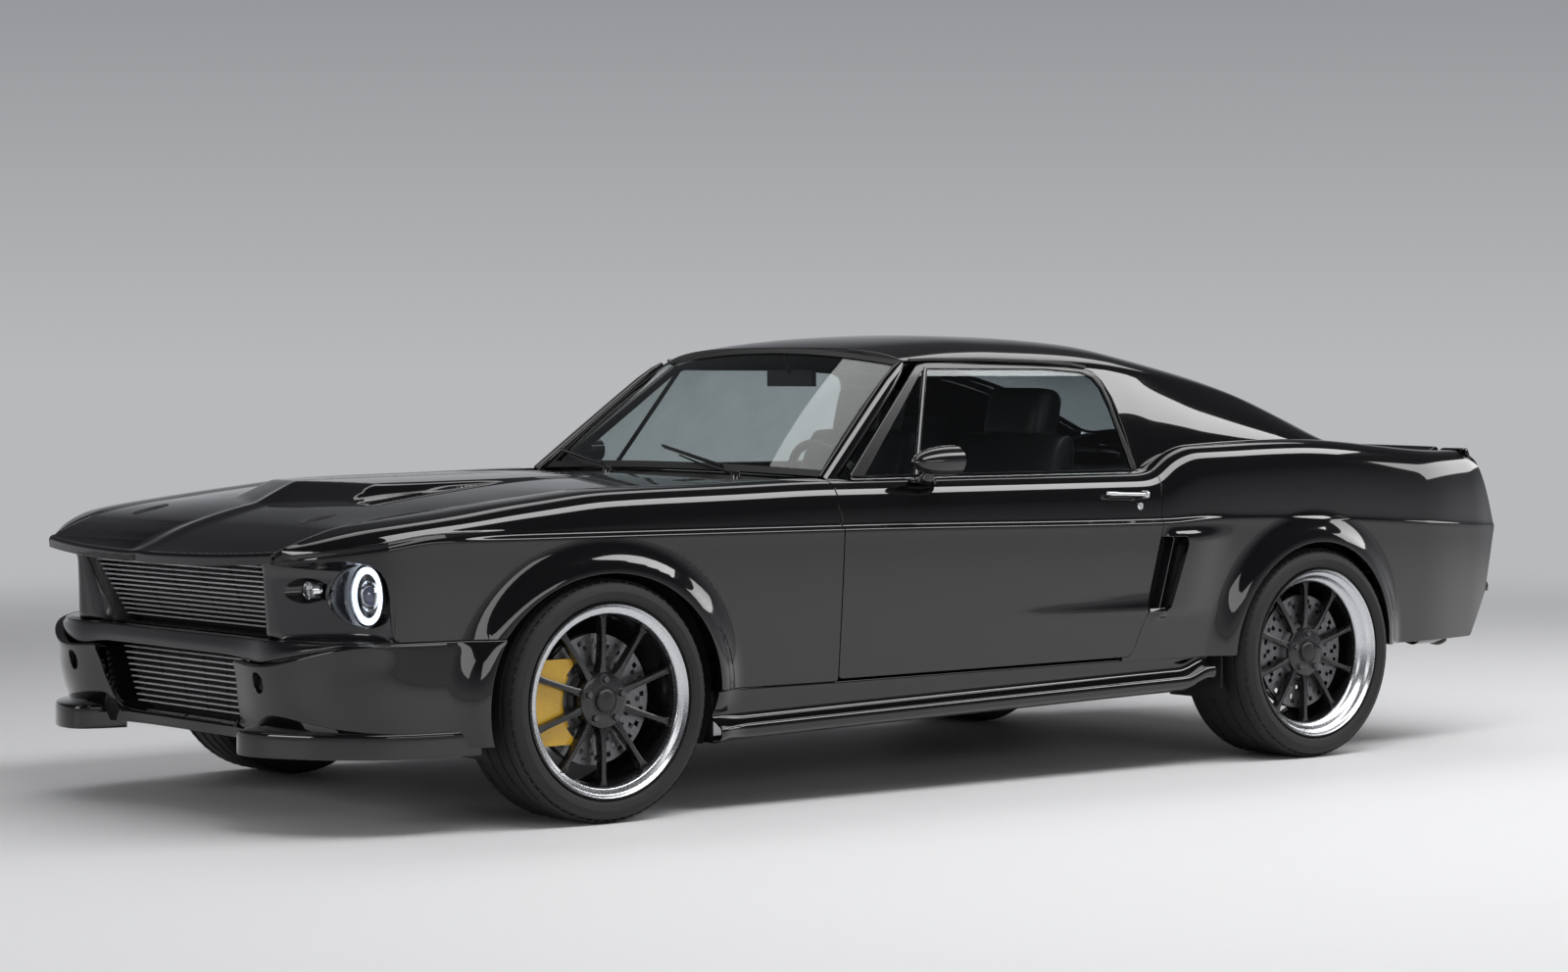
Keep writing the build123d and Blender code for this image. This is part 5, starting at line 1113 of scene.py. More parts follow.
LIP_PLAN = [(2.150, 0.395), (2.205, 0.404), (2.262, 0.420), (2.290, 0.446), (2.297, 0.500),
            (2.284, 0.562), (2.254, 0.628), (2.206, 0.704), (2.138, 0.776), (2.058, 0.832),
            (1.970, 0.860), (1.890, 0.870), (1.80, 0.874)]


def lip_section(u, v):
    out = [-0.10, -0.03, -0.006, -0.001, 0.0, 0.0, 0.0, 0.0, -0.002, -0.006, -0.02, -0.05, -0.10]
    z = [0.208, 0.2065, 0.2065, 0.2070, 0.2100, 0.220, 0.242, 0.264, 0.2715, 0.2735, 0.276,
         0.281, 0.288]
    return constant_rows(out, u, v), constant_rows(z, u, v)


def if_left(hand, *nodes):
    """CAD nodes of both sides, which the left-hand piece stands for."""
    return list(nodes) if hand == "left" else []


def build_front_panels(hand):
    """Lamp surround, bumper blade, valance and chin lip of one side."""
    panel("lamp_surround", lamp_panel, lines(0, 1, 0.016), lines(0, 1, 0.03), lamp_field, BOWL,
          hand, stands_for=if_left(hand, "nose_panel"), depth=0.006)
    panel("bumper_blade", lambda u, v: sweep_plan(BUMPER_PLAN, bumper_section, u, v),
          lines(0.08, 1, 0.013), lines(0, 1, 0.022),
          lambda x, y, z, u, v: np.minimum(y + 0.0002, (1 - u) * 1.2), TRIM, hand,
          stands_for=if_left(hand, "front_bumper"), depth=0.004)
    panel("valance_skin", valance_skin, lines(0.07, 1, 0.0055), lines(0, 1, 0.022),
          valance_field, PAINT, hand, stands_for=if_left(hand, "front_valance"), depth=0.012)
    panel("chin_lip", lambda u, v: sweep_plan(LIP_PLAN, lip_section, u, v),
          lines(0, 1, 0.013), lines(0, 1, 0.05),
          lambda x, y, z, u, v: np.minimum(np.minimum(u, 1 - u) * 0.9,
                                           arch_distance(x, z, FRONT_X, FRONT_ARCH)),
          PAINT, hand, depth=0.004)


def build_headlamp(hand):
    """Bucket whose walls reach the surround, halo ring, projector and cover glass."""
    at = tuple(LAMP_AT)
    walls = []
    for r, ahead in ((0.0850, 0.0010), (0.0825, -0.0035), (0.0815, -0.008), (0.0810, None)):
        walls.append([(max(panel_x(at[1] + LAMP_R * math.cos(a)), at[0] + 0.003) + ahead
                       if ahead is not None else at[0] - 0.006,
                       at[1] + r * math.cos(a), at[2] + r * math.sin(a)) for a in LAMP_TURNS])
    Shape().lathe([(0.001, -0.050), (0.040, -0.048), (0.060, -0.034), (0.070, -0.010),
                   (0.076, -0.004), (0.0825, -0.004), (0.0835, -0.012), (0.0835, -0.055),
                   (0.001, -0.060)], at, "x").rows(walls, closed=True).piece(
        "lamp_bucket", BOWL, side=hand, stands_for=if_left(hand, "front_lamps"),
        slot_name="lamp_glass")
    Shape().lathe([(0.0575 + 0.0095 * (1 - math.cos(a)), -0.006 + 0.0075 * math.sin(a))
                   for a in round_angles(0.4)], at, "x", closed=True).piece(
        "halo_ring", HALO, side=hand, slot_name="lamp_glass")
    Shape().lathe([(0.0005, 0.006), (0.010, 0.005), (0.020, 0.001), (0.027, -0.006),
                   (0.031, -0.016), (0.031, -0.04)], at, "x").piece(
        "projector_eye", PROJECTOR, side=hand, slot_name="lamp_glass")
    Shape().lathe([(0.032, -0.030), (0.033, -0.010), (0.036, -0.006), (0.040, -0.008),
                   (0.044, -0.020), (0.046, -0.040)], at, "x").piece(
        "projector_collar", CHROME, side=hand, slot_name="bright_bars")
    Shape().lathe([(0.0005, 0.016), (0.03, 0.0145), (0.055, 0.010), (0.070, 0.004),
                   (0.0755, -0.001), (0.0755, -0.004), (0.070, 0.0015), (0.055, 0.0075),
                   (0.03, 0.012), (0.0005, 0.0135)], at, "x", 72).piece(
        "headlamp_lens", LENS, side=hand, slot_name="lamp_glass")


def build_driving_lamp(hand):
    """Small lamp with a cross on its bowl, set back in an oval cup in the surround."""
    at = (SMALL_AT.x - 0.009, SMALL_AT.y, SMALL_AT.z)
    bowl = Shape().lathe([(0.001, -0.020), (0.014, -0.016), (0.0215, -0.002), (0.0225, 0.000),
                          (0.0245, 0.001), (0.0255, -0.001), (0.0255, -0.03)], at, "x", 48)
    for dy, dz in ((0, 0.021), (0.021, 0)):
        bowl.tube([(at[0] - 0.002, at[1] - dy, at[2] - dz),
                   (at[0] - 0.002, at[1] + dy, at[2] + dz)], 0.0012, around=6)
    bowl.piece("driving_lamp_bowl", CHROME, side=hand, slot_name="bright_bars")
    rings = []
    for q, sink, flat in ((1.035, 0.0005, 0), (0.985, -0.003, 0), (0.95, -0.010, 0),
                          (0.86, -0.022, 0.15), (0.70, -0.032, 0.35), (0.45, -0.038, 0.45),
                          (0.02, -0.038, 0.45)):
        ring = []
        for a in LAMP_TURNS:
            y, z = at[1] + 0.046 * q * math.cos(a), at[2] + SMALL_R * q * math.sin(a)
            ring.append((panel_x(y) * (1 - flat) + panel_x(at[1]) * flat + sink, y, z))
        rings.append(ring)
    Shape().rows(rings, closed=True).piece("driving_lamp_cup", BOWL, side=hand,
                                           slot_name="lamp_glass")
    Shape().lathe([(0.0005, 0.009), (0.010, 0.008), (0.018, 0.005), (0.0222, 0.0005),
                   (0.0222, -0.002), (0.016, 0.002), (0.0005, 0.006)], at, "x", 48).piece(
        "driving_lamp_lens", LENS, side=hand, slot_name="lamp_glass")


def build_turn_lamp(hand):
    Shape().lathe([(0.0005, 0.006), (0.016, 0.004), (0.023, -0.002), (0.027, -0.006),
                   (0.029, -0.03)], (2.236, *TURN_LAMP), "x", 40).piece(
        "turn_lamp", AMBER_LENS, side=hand, slot_name="lamp_glass")


def build_mouth_cheek(hand):
    """Upright wall at the side of the lower mouth, closing inwards to the rear."""
    Shape().rows([[(x, 0.395 + (2.24 - x) * 0.25, 0.46), (x, 0.352 + (2.24 - x) * 0.2, 0.300),
                   (x, 0.30, 0.262)] for x in (2.215, 2.15, 2.06)]).piece(
        "mouth_cheek", TRIM, side=hand, slot_name="body_paint")


LAMP_TURNS = round_angles(0.09)
for hand in HANDS:
    build_front_panels(hand)
    build_headlamp(hand)
    build_driving_lamp(hand)
    build_turn_lamp(hand)
    build_mouth_cheek(hand)

shelves = Shape()
for half, profile in ((0.40, ((2.200, 0.262), (2.16, 0.264), (2.08, 0.270))),
                      (0.46, ((2.20, 0.458), (2.06, 0.458))),
                      (0.46, ((2.20, 0.5135), (2.06, 0.5135))),
                      (0.52, ((2.30, 0.7165), (2.26, 0.713), (2.12, 0.712)))):
    shelves.rows([[(x, y, z) for y in lines(-half, half, 0.1)] for x, z in profile])
shelves.piece("mouth_shelves", TRIM, slot_name="body_paint")


# ---- grilles --------------------------------------------------------------------------------
def slim_bar(shape, x, half, z, deep=0.011, tall=0.0038):
    """Level bar with a rounded front edge."""
    ends = [[(x - deep, y, z - tall / 2), (x - 0.002, y, z - tall / 2), (x, y, z - tall / 4),
             (x + 0.0006, y, z), (x, y, z + tall / 4), (x - 0.002, y, z + tall / 2),
             (x - deep, y, z + tall / 2)] for y in (-half, half)]
    shape.rows(ends, closed=True)
    n, ring = len(shape.points), len(ends[0])
    shape.faces += [tuple(range(n - 2 * ring, n - ring)), tuple(range(n - ring, n))[::-1]]


UPPER_LOW, UPPER_HIGH = (2.118, 0.440, 0.522), (2.205, 0.492, 0.704)
LOWER_LOW, LOWER_HIGH = (2.150, 0.322, 0.282), (2.172, 0.372, 0.450)
bars, fins_and_shade_sheet = Shape(), Shape()
for (x0, h0, z0), (x1, h1, z1), count in ((UPPER_LOW, UPPER_HIGH, 13),
                                         (LOWER_LOW, LOWER_HIGH, 10)):
    for k in range(count):
        t = (k + 0.5) / count
        slim_bar(bars, x0 + (x1 - x0) * t, h0 + (h1 - h0) * t, z0 + (z1 - z0) * t)
    for y in lines(-0.84, 0.84, 0.28):
        fins_and_shade_sheet.rows([[(x - d, y * h + e, z) for x, h, z in ((x0, h0, z0), (x1, h1, z1))]
                         for d, e in ((0.010, -0.0015), (0.004, 0.0), (0.010, 0.0015))])
    # sheet behind the bars: its near-black is painted shade for the dark depth of the grille
    # recess
    fins_and_shade_sheet.rows([[(x - 0.045, y, z) for y in (-h - 0.05, h + 0.05)]
                     for x, h, z in ((x0, h0, z0 - 0.02), (x1, h1, z1 + 0.02))])
bars.piece("grille_bars", BAR_METAL, stands_for=["grilles"], slot_name="bright_bars")
fins_and_shade_sheet.piece("grille_shade_backing", SHADE_BLACK, slot_name="chassis_black")

# ---- rear end -------------------------------------------------------------------------------
REAR_PLAN = [(-2.340, -0.2), (-2.340, 0.0), (-2.339, 0.25), (-2.335, 0.45), (-2.326, 0.60),
             (-2.309, 0.70), (-2.280, 0.755), (-2.230, 0.785), (-2.150, 0.800), (-2.05, 0.812)]


def rear_section(u, v):
    out = [-0.17, -0.14, -0.125, -0.095, -0.055, -0.022, -0.006, -0.002, -0.008, -0.03, -0.07]
    z = [0.318, 0.309, 0.309, 0.330, 0.370, 0.410, 0.448, 0.466, 0.474, 0.4775, 0.478]
    return constant_rows([-o for o in out], u, v), constant_rows(z, u, v)


def tail_lamp_ring(y, x, share):
    """Outline of an upright tail lamp about y at depth x, drawn in to a share of its width."""
    def squared(value):
        return abs(value) ** 0.4 * np.sign(value)
    tall = 0.072 * (1 - (1 - share) * 0.45)
    return [(x, y + 0.031 * share * squared(math.cos(a)), 0.612 + tall * squared(math.sin(a)))
            for a in round_angles(0.16)]


for hand in HANDS:
    panel("rear_apron", lambda u, v: sweep_plan(REAR_PLAN, rear_section, u, v),
          lines(0.08, 1, 0.015), lines(0, 1, 0.05),
          lambda x, y, z, u, v: np.minimum(y + 0.0002, 0.742 - y), PAINT, hand,
          stands_for=if_left(hand, "rear_bumper"), depth=0.008)
    for k in range(3):
        y = 0.455 + 0.082 * k
        Shape().rows([tail_lamp_ring(y, x, share) for x, share in
                      ((-2.318, 0.93), (-2.332, 0.92), (-2.338, 0.80), (-2.339, 0.4),
                       (-2.339, 0.02))], closed=True).piece(
            f"tail_lamp_{k + 1}", RED_LENS, side=hand, slot_name="red_lamp",
            stands_for=if_left(hand, "tail_lamps") if k == 0 else [])
        Shape().rows([tail_lamp_ring(y, x, share) for x, share in
                      ((-2.316, 0.94), (-2.336, 0.94), (-2.338, 1.0), (-2.336, 1.06),
                       (-2.316, 1.06))], closed=True).piece(
            f"tail_lamp_frame_{k + 1}", CHROME, side=hand, slot_name="bright_bars")

# ---- skirts ---------------------------------------------------------------------------------
SKIRT_FRONT, SKIRT_REAR = FRONT_X - 0.372, REAR_X + 0.436


def skirt_skin(u, v):
    """Sill cover: u from the rear end forward, v from its inner foot up under the door."""
    x = SKIRT_REAR + (SKIRT_FRONT - SKIRT_REAR) * u
    foot = 0.236 - 0.046 * np.clip(u, 0, 1) ** 1.1 + 0.026 * step_up((0.07 - u) / 0.07)
    top = SILL - 2 * GAP + 0.007 * np.clip((DOOR_F - x) / 1.13, 0, 1)
    out = [0.760, 0.840, HALF - 0.022, HALF - 0.004, HALF + 0.0035, HALF + 0.003, HALF - 0.004,
           HALF - 0.020, HALF - 0.036, HALF - 0.040, HALF - 0.038, HALF - 0.032, HALF - 0.031,
           HALF - 0.036, HALF - 0.09]
    rise = [0, 0.0, 0.002, 0.010, 0.024, 0.040, 0.048, 0.054, 0.062, 0.074, 0.086, None, None,
            None, None]
    z = [foot + r if r is not None else top - d for r, d in
         zip(rise, [0] * 11 + [0.014, 0.004, 0.0, 0.0])]
    y = constant_rows(out, u, v)
    return np.stack([x, y + 0.7 * flare_bump(x, constant_rows(z, u, v), FRONT_X, FRONT_ARCH)
                     * step_up((y - 0.84) / 0.02), constant_rows(z, u, v)], 1)


for hand in HANDS:
    panel("skirt_skin", skirt_skin, lines(0, 1, 0.0075), lines(0, 1, 0.025),
          lambda x, y, z, u, v: np.minimum(np.minimum(
              arch_distance(x, z, FRONT_X, FRONT_ARCH), arch_distance(x, z, REAR_X, REAR_ARCH)),
              np.minimum(u, 1 - u) * 1.9), PAINT, hand, stands_for=[f"side_skirt_{hand}"],
          depth=0.005)

# ---- wheels ---------------------------------------------------------------------------------
FACE_Y = TYRE_HI.y
SPOKES, LUGS, TREAD_BLOCKS = 10, 5, 72
FLANGE_R = 0.266
LUG_CIRCLE_R = 0.057
DISC_Y, DISC_R, DISC_HALF, DISC_STEPS = 0.815, 0.178, 0.015, 72
# radius and depth below the side face, from the bead to the shoulder
TYRE_SIDE = [(0.255, 0.024), (0.262, 0.0185), (0.2690, 0.0150), (0.2705, 0.0085),
             (0.2740, 0.0070), (0.2765, 0.0035), (0.2785, 0.0030), (0.2800, 0.0018),
             (0.2930, 0.0006), (0.2945, 0.0000), (0.2960, 0.0006), (0.3060, 0.0035),
             (0.3130, 0.0085), (0.3180, 0.0150), (0.3200, 0.0240)]
# radius and depth behind the wheel's face, of the machined lip
RIM_LIP = {
    "front": [(FLANGE_R - 0.0061, 0.0002), (0.2555, 0.004), (0.2530, 0.0085), (0.2500, 0.0105),
              (0.2380, 0.0120), (0.2350, 0.0150), (0.2335, 0.0215), (0.2320, 0.030)],
    "rear": [(FLANGE_R - 0.0061, 0.0002), (0.2560, 0.004), (0.2540, 0.0100), (0.2500, 0.0140),
             (0.2440, 0.0170), (0.2400, 0.0240), (0.2350, 0.0330), (0.2290, 0.0390),
             (0.2240, 0.0420), (0.2215, 0.0500)]}
VALVE_R = {"front": 0.238, "rear": 0.232}
VALVE_ANGLE = -0.9


def on_wheel(x, r, a, y):
    """Point at radius r and angle a about the axle of the wheel at x."""
    return x + r * math.cos(a), y, HUB_Z + r * math.sin(a)


def build_tyre(end, hand, body, wheel_x, wide):
    """Carcass with grooves, then slanting tread blocks on both halves."""
    mid, half = FACE_Y - wide / 2, wide / 2
    edge = half - 0.026
    profile = [(r, mid + half - d) for r, d in TYRE_SIDE]
    shoulder = [(TYRE_R - 0.0065, mid + edge + 0.008), (TYRE_R - 0.0015, mid + edge - 0.004)]
    profile += shoulder
    for share in (-0.30, -0.10, 0.10, 0.30):
        c = mid - share * wide
        profile += [(TYRE_R - 0.0010, c + 0.0055), (TYRE_R - 0.0075, c + 0.0045),
                    (TYRE_R - 0.0075, c - 0.0045), (TYRE_R - 0.0010, c - 0.0055)]
    profile += [(r, 2 * mid - y) for r, y in shoulder[::-1]]
    profile += [(r, mid - half + d) for r, d in TYRE_SIDE[::-1]]
    skin = Shape().lathe(profile, (wheel_x, 0.0, HUB_Z), "y", 112, closed=True)
    skin.piece(f"tyre_{end}_carcass", RUBBER, body, [f"tyre_{end}_{hand}"], "tyre", hand, 40)
    tread = Shape()
    for k in range(TREAD_BLOCKS):
        for sign in (1, -1):
            ring = []
            for s, r in ((edge + 0.012, TYRE_R - 0.0105), (edge - 0.004, TYRE_R - 0.0008),
                         (wide * 0.30 + 0.0075, TYRE_R - 0.0003)):
                for da in (-0.30, 0.30):
                    b = (2 * k + da + 0.35 * sign * (1 - s / half)) * math.pi / TREAD_BLOCKS
                    ring.append((b, mid + sign * s, r))
            low = [(b, y, r - 0.006) for b, y, r in ring]
            tread.add([on_wheel(wheel_x, r, b, y) for b, y, r in ring + low],
                      [(0, 1, 3, 2), (2, 3, 5, 4), (0, 2, 8, 6), (2, 4, 10, 8), (1, 7, 9, 3),
                       (3, 9, 11, 5), (0, 6, 7, 1), (4, 5, 11, 10)])
    tread.piece(f"tyre_{end}_tread", RUBBER, body, slot_name="tyre", side=hand)


def spoke_rows(a, wheel_x, spoke_y, inner_r):
    """Rings of one spoke from the hub to the rim: its half width, height and depth vary."""
    for r, w, top, deep in ((0.045, 0.0150, -0.010, 0.030), (0.070, 0.0125, -0.004, 0.030),
                            (0.100, 0.0098, 0.0005, 0.028), (0.150, 0.0082, 0.0015, 0.025),
                            (0.195, 0.0085, 0.0010, 0.024),
                            (inner_r - 0.012, 0.0105, 0.0010, 0.024),
                            (inner_r - 0.002, 0.0150, -0.0005, 0.024)):
        y = spoke_y + top - 0.004
        yield [(wheel_x + r * math.cos(a) - s * math.sin(a), y - d,
                HUB_Z + r * math.sin(a) + s * math.cos(a))
               for s, d in ((-w, deep), (-w, 0.006), (-w + 0.0015, 0.0015), (-w + 0.004, 0.0),
                            (0, 0.0005), (w - 0.004, 0.0), (w - 0.0015, 0.0015), (w, 0.006),
                            (w, deep), (w * 0.5, deep + 0.003), (-w * 0.5, deep + 0.003))]


def build_rim(end, hand, body, wheel_x, wide, dish):
    """Machined lip, barrel, spokes, cap, nuts and valve."""
    at, face, back = (wheel_x, 0.0, HUB_Z), FACE_Y - 0.008, FACE_Y - wide
    spoke_y = face - dish
    hub = (wheel_x, spoke_y - 0.001, HUB_Z)
    flanges = [(FLANGE_R - 0.006, face), (FLANGE_R - 0.002, face - 0.0015),
               (FLANGE_R, face - 0.005), (FLANGE_R - 0.002, face - 0.009),
               (0.2560, face - 0.012), (0.2510, face - 0.020), (0.2530, back + 0.026),
               (FLANGE_R - 0.003, back + 0.021), (FLANGE_R, back + 0.016),
               (FLANGE_R - 0.002, back + 0.012), (0.2475, back + 0.018)]
    bright = [(r, face - d) for r, d in RIM_LIP[end]]
    inner = bright[-1]
    Shape().lathe(bright, at, "y", 128).piece(f"rim_{end}_lip", BRUSHED, body,
                                              [f"rim_{end}_{hand}"], "rim_black", hand, 50)
    barrel = [inner, (inner[0] - 0.004, inner[1] - 0.014), (0.2270, spoke_y - 0.050),
              (0.2300, spoke_y - 0.090), (0.2340, back + 0.040), (0.2380, back + 0.0185)]
    Shape().lathe(flanges, at, "y", 96).lathe(barrel, at, "y", 96).piece(
        f"rim_{end}_barrel", SPOKE, body, slot_name="rim_black", side=hand)
    spokes = Shape()
    for k in range(SPOKES):
        spokes.rows(list(spoke_rows(FULL_TURN * (k + 0.5) / SPOKES, wheel_x, spoke_y,
                                    inner[0])), closed=True)
    spokes.lathe([(0.040, 0.0), (0.066, -0.001), (0.074, -0.004), (0.079, -0.012),
                  (0.080, -0.040), (0.050, -0.055), (0.030, -0.055)], hub, "y", 80)
    spokes.piece(f"rim_{end}_spokes", SPOKE, body, slot_name="rim_black", side=hand)
    Shape().lathe([(0.0005, 0.0145), (0.014, 0.0140), (0.024, 0.0125), (0.029, 0.0100),
                   (0.0315, 0.0060), (0.0325, 0.0000), (0.0360, -0.0010), (0.041, -0.0010)],
                  hub, "y", 64).piece(f"rim_{end}_cap", SATIN, body, slot_name="rim_black",
                                      side=hand)
    nuts = Shape()
    for k in range(LUGS):
        cx, _, cz = on_wheel(wheel_x, LUG_CIRCLE_R, FULL_TURN * k / LUGS + math.pi / 2, 0)
        nuts.lathe([(0.0135, -0.006), (0.0135, 0.000), (0.0115, 0.0005), (0.0112, 0.001)],
                   (cx, hub[1], cz), "y", 20)
        nuts.rows([[(cx + r * math.cos(math.pi * i / 3), hub[1] + y,
                     cz + r * math.sin(math.pi * i / 3)) for i in range(6)]
                   for r, y in ((0.0095, 0.001), (0.0095, 0.009), (0.0080, 0.0115),
                                (0.0004, 0.0118))], closed=True)
    nuts.piece(f"rim_{end}_nuts", CAST, body, slot_name="rim_black", side=hand)
    root = Vector(on_wheel(wheel_x, VALVE_R[end], VALVE_ANGLE, face - 0.030))
    inwards = Vector((-math.cos(VALVE_ANGLE) * 0.6, 0.8,
                      -math.sin(VALVE_ANGLE) * 0.6)).normalized()
    Shape().tube([root, root + inwards * 0.012, root + inwards * 0.014, root + inwards * 0.026],
                 [0.0036, 0.0036, 0.0046, 0.0042], around=12).piece(
        f"rim_{end}_valve", SATIN, body, slot_name="rim_black", side=hand)


def build_disc(end, hand, body, wheel_x):
    """Vented brake disc with three rings of holes, and its bell."""
    disc, at = Shape(), (wheel_x, DISC_Y, HUB_Z)
    rings = [0.096, 0.108, 0.122, 0.137, 0.152, 0.166, DISC_R]
    n = len(rings)
    shift = {1: 2, 3: 6, 4: 1}       # rings of cells with holes, and where their holes start
    for side in (1, -1):
        points = [on_wheel(wheel_x, r, FULL_TURN * k / DISC_STEPS, DISC_Y + side * DISC_HALF)
                  for k in range(DISC_STEPS) for r in rings]
        faces = []
        for k in range(DISC_STEPS):
            m = (k + 1) % DISC_STEPS
            for i in range(n - 1):
                if i not in shift or (k + shift[i]) % 3:
                    face = (k * n + i, k * n + i + 1, m * n + i + 1, m * n + i)
                    faces.append(face if side > 0 else face[::-1])
        disc.add(points, faces)
    for r, y0, y1 in ((DISC_R, DISC_HALF, 0.005), (DISC_R, -0.005, -DISC_HALF),
                      (DISC_R - 0.012, 0.006, -0.006)):
        disc.lathe([(r, y0), (r, y1)], at, "y", 72)
    disc.piece(f"rim_{end}_disc", STEEL, body, slot_name="rim_black", side=hand)
    Shape().lathe([(0.097, 0.012), (0.092, 0.014), (0.088, 0.022), (0.082, 0.030),
                   (0.060, 0.032), (0.030, 0.032)], at, "y", 64).piece(
        f"rim_{end}_bell", CAST, body, slot_name="rim_black", side=hand)


for hand in HANDS:
    for end, wheel_x, wide, dish in (("front", FRONT_X, 0.255, 0.030),
                                     ("rear", REAR_X, 0.295, 0.050)):
        body = f"wheel_{end}_{hand}"
        build_tyre(end, hand, body, wheel_x, wide)
        build_rim(end, hand, body, wheel_x, wide, dish)
        build_disc(end, hand, body, wheel_x)

# ---- calipers, on the knuckles that steer ---------------------------------------------------
def build_caliper(hand):
    """Arched cover with three pistons on two brackets."""
    r0, r1, y0, y1 = 0.112, 0.176, 0.8345, 0.8505      # inner and outer radius, both faces
    steps = 12
    rings = []
    for k in range(steps + 1):
        a = math.radians(-34 + 68 * k / steps)
        pinch = 1 - 0.10 * abs(k - 6) / 6
        rings.append([on_wheel(FRONT_X, r0 + (r - r0) * pinch, a, y) for r, y in (
            (r0 + 0.006, y0), (r1 + 0.010, y0), (r1 + 0.012, y0 + 0.006),
            (r1 + 0.006, y1 - 0.003), (r1 - 0.004, y1),
            ((r0 + r1) / 2 + 0.006, y1 + 0.002 * math.cos(k * 1.7)), (r0 + 0.012, y1),
            (r0 + 0.002, y1 - 0.005))])
    caliper = Shape().rows(rings, closed=True)
    n = len(rings[0])
    caliper.faces += [tuple(range(n)), tuple(range(steps * n, (steps + 1) * n))[::-1]]
    for a in (-22, 0, 22):
        caliper.lathe([(0.0005, 0.0555), (0.016, 0.0550), (0.019, 0.0530), (0.020, 0.045)],
                      on_wheel(FRONT_X, 0.146, math.radians(a), 0.797), "y", 24)
    for z in (-0.085, 0.085):
        caliper.block((FRONT_X + 0.112, 0.779, HUB_Z + z - 0.012),
                      (FRONT_X + 0.172, 0.846, HUB_Z + z + 0.012))
    caliper.piece("caliper_cover", CALIPER, f"knuckle_{hand}", side=hand,
                  slot_name="chassis_black", sharp=40)


for hand in HANDS:
    build_caliper(hand)

# ---- mirrors, handles, locks, bonnet latches and wipers -------------------------------------
MIRROR_LO, MIRROR_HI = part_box("mirror_left")
LATCH_AT = (2.038, 0.452)


def build_mirror(hand):
    """Bullet-shaped shell with its face and stalk, on the door."""
    body = f"door_{hand}"
    cx, cy, cz = (MIRROR_LO.x + MIRROR_HI.x) / 2 + 0.006, 0.884, 0.957
    rings = []
    for t in lines(0, 1, 0.05):
        s = -0.066 + 0.148 * t
        r = math.sqrt(max(1 - t ** 2.4, 0.0004))
        rings.append([(cx + s, cy + 0.058 * r * math.cos(a),
                       cz + 0.0435 * r * math.sin(a) - 0.004 * t) for a in round_angles(0.165)])

    def inset(x, share):
        """The shell's open end drawn in towards its middle, at depth x."""
        return [(x, cy + (p[1] - cy) * share, cz + (p[2] - cz) * share) for p in rings[0]]
    lip = [inset(cx - 0.0535, 0.93), inset(cx - 0.0655, 0.93), inset(cx - 0.0655, 0.985)]
    Shape().rows(lip + rings, closed=True).piece("mirror_shell", TRIM, body, [f"mirror_{hand}"],
                                                 "body_paint", hand, 50)
    Shape().add(inset(cx - 0.0575, 0.925), [tuple(range(len(rings[0])))]).piece(
        "mirror_face", MIRROR_FACE, body, side=hand, slot_name="glass")
    Shape().tube([(cx + 0.012, 0.853, 0.893), (cx + 0.012, 0.856, 0.905),
                  (cx + 0.010, 0.868, 0.918), (cx + 0.006, 0.880, 0.930)],
                 [0.026, 0.017, 0.013, 0.015], around=18, squash=1.25, up=(1, 0, 0)).tube(
        [(cx - 0.035, 0.838, 0.897), (cx + 0.015, 0.838, 0.900), (cx + 0.060, 0.838, 0.897)],
        [0.012, 0.022, 0.010], around=18, squash=0.45).piece(
        "mirror_stalk", TRIM, body, side=hand, slot_name="body_paint")


def build_handle(hand):
    """Bar handle with its button and end, and the lock under it."""
    body, x, y = f"door_{hand}", DOOR_R + 0.165, HALF - 0.020
    Shape().tube([(x - 0.082, y + 0.002, 0.841), (x - 0.074, y + 0.016, 0.842),
                  (x - 0.040, y + 0.021, 0.843), (x + 0.040, y + 0.021, 0.8455),
                  (x + 0.070, y + 0.017, 0.847), (x + 0.080, y + 0.002, 0.847)],
                 [0.006, 0.0075, 0.0065, 0.0060, 0.0075, 0.007], around=16, squash=0.9).lathe(
        [(0.0005, 0.012), (0.0075, 0.0115), (0.0085, 0.010), (0.0085, -0.006)],
        (x - 0.060, y + 0.016, 0.842), "y", 20).tube(
        [(x - 0.090, y, 0.8405), (x - 0.062, y + 0.002, 0.8415)], 0.009, around=16,
        squash=1.3).piece("door_handle", CHROME, body, side=hand, slot_name="bright_bars")
    Shape().lathe([(0.0005, 0.0035), (0.009, 0.0030), (0.0115, 0.0010), (0.012, -0.004)],
                  (x - 0.060, HALF - 0.0190, 0.806), "y", 24).piece(
        "door_lock", CHROME, body, side=hand, slot_name="bright_bars")


def build_latch(hand):
    """Oval plate that follows the bonnet's surface."""
    rings = []
    for q, lift in ((1.0, -0.003), (1.0, 0.0016), (0.93, 0.0028), (0.80, 0.0012),
                    (0.76, 0.0022), (0.3, 0.0026), (0.01, 0.0026)):
        turns = np.array(round_angles(0.2))
        x, y = LATCH_AT[0] + 0.056 * q * np.cos(turns), LATCH_AT[1] + 0.022 * q * np.sin(turns)
        rings.append(np.stack([x, y, hood_height(x, y) + lift], 1))
    Shape().rows(rings, closed=True).piece("bonnet_latch", SATIN, "bonnet", side=hand,
                                           slot_name="body_paint", sharp=25)


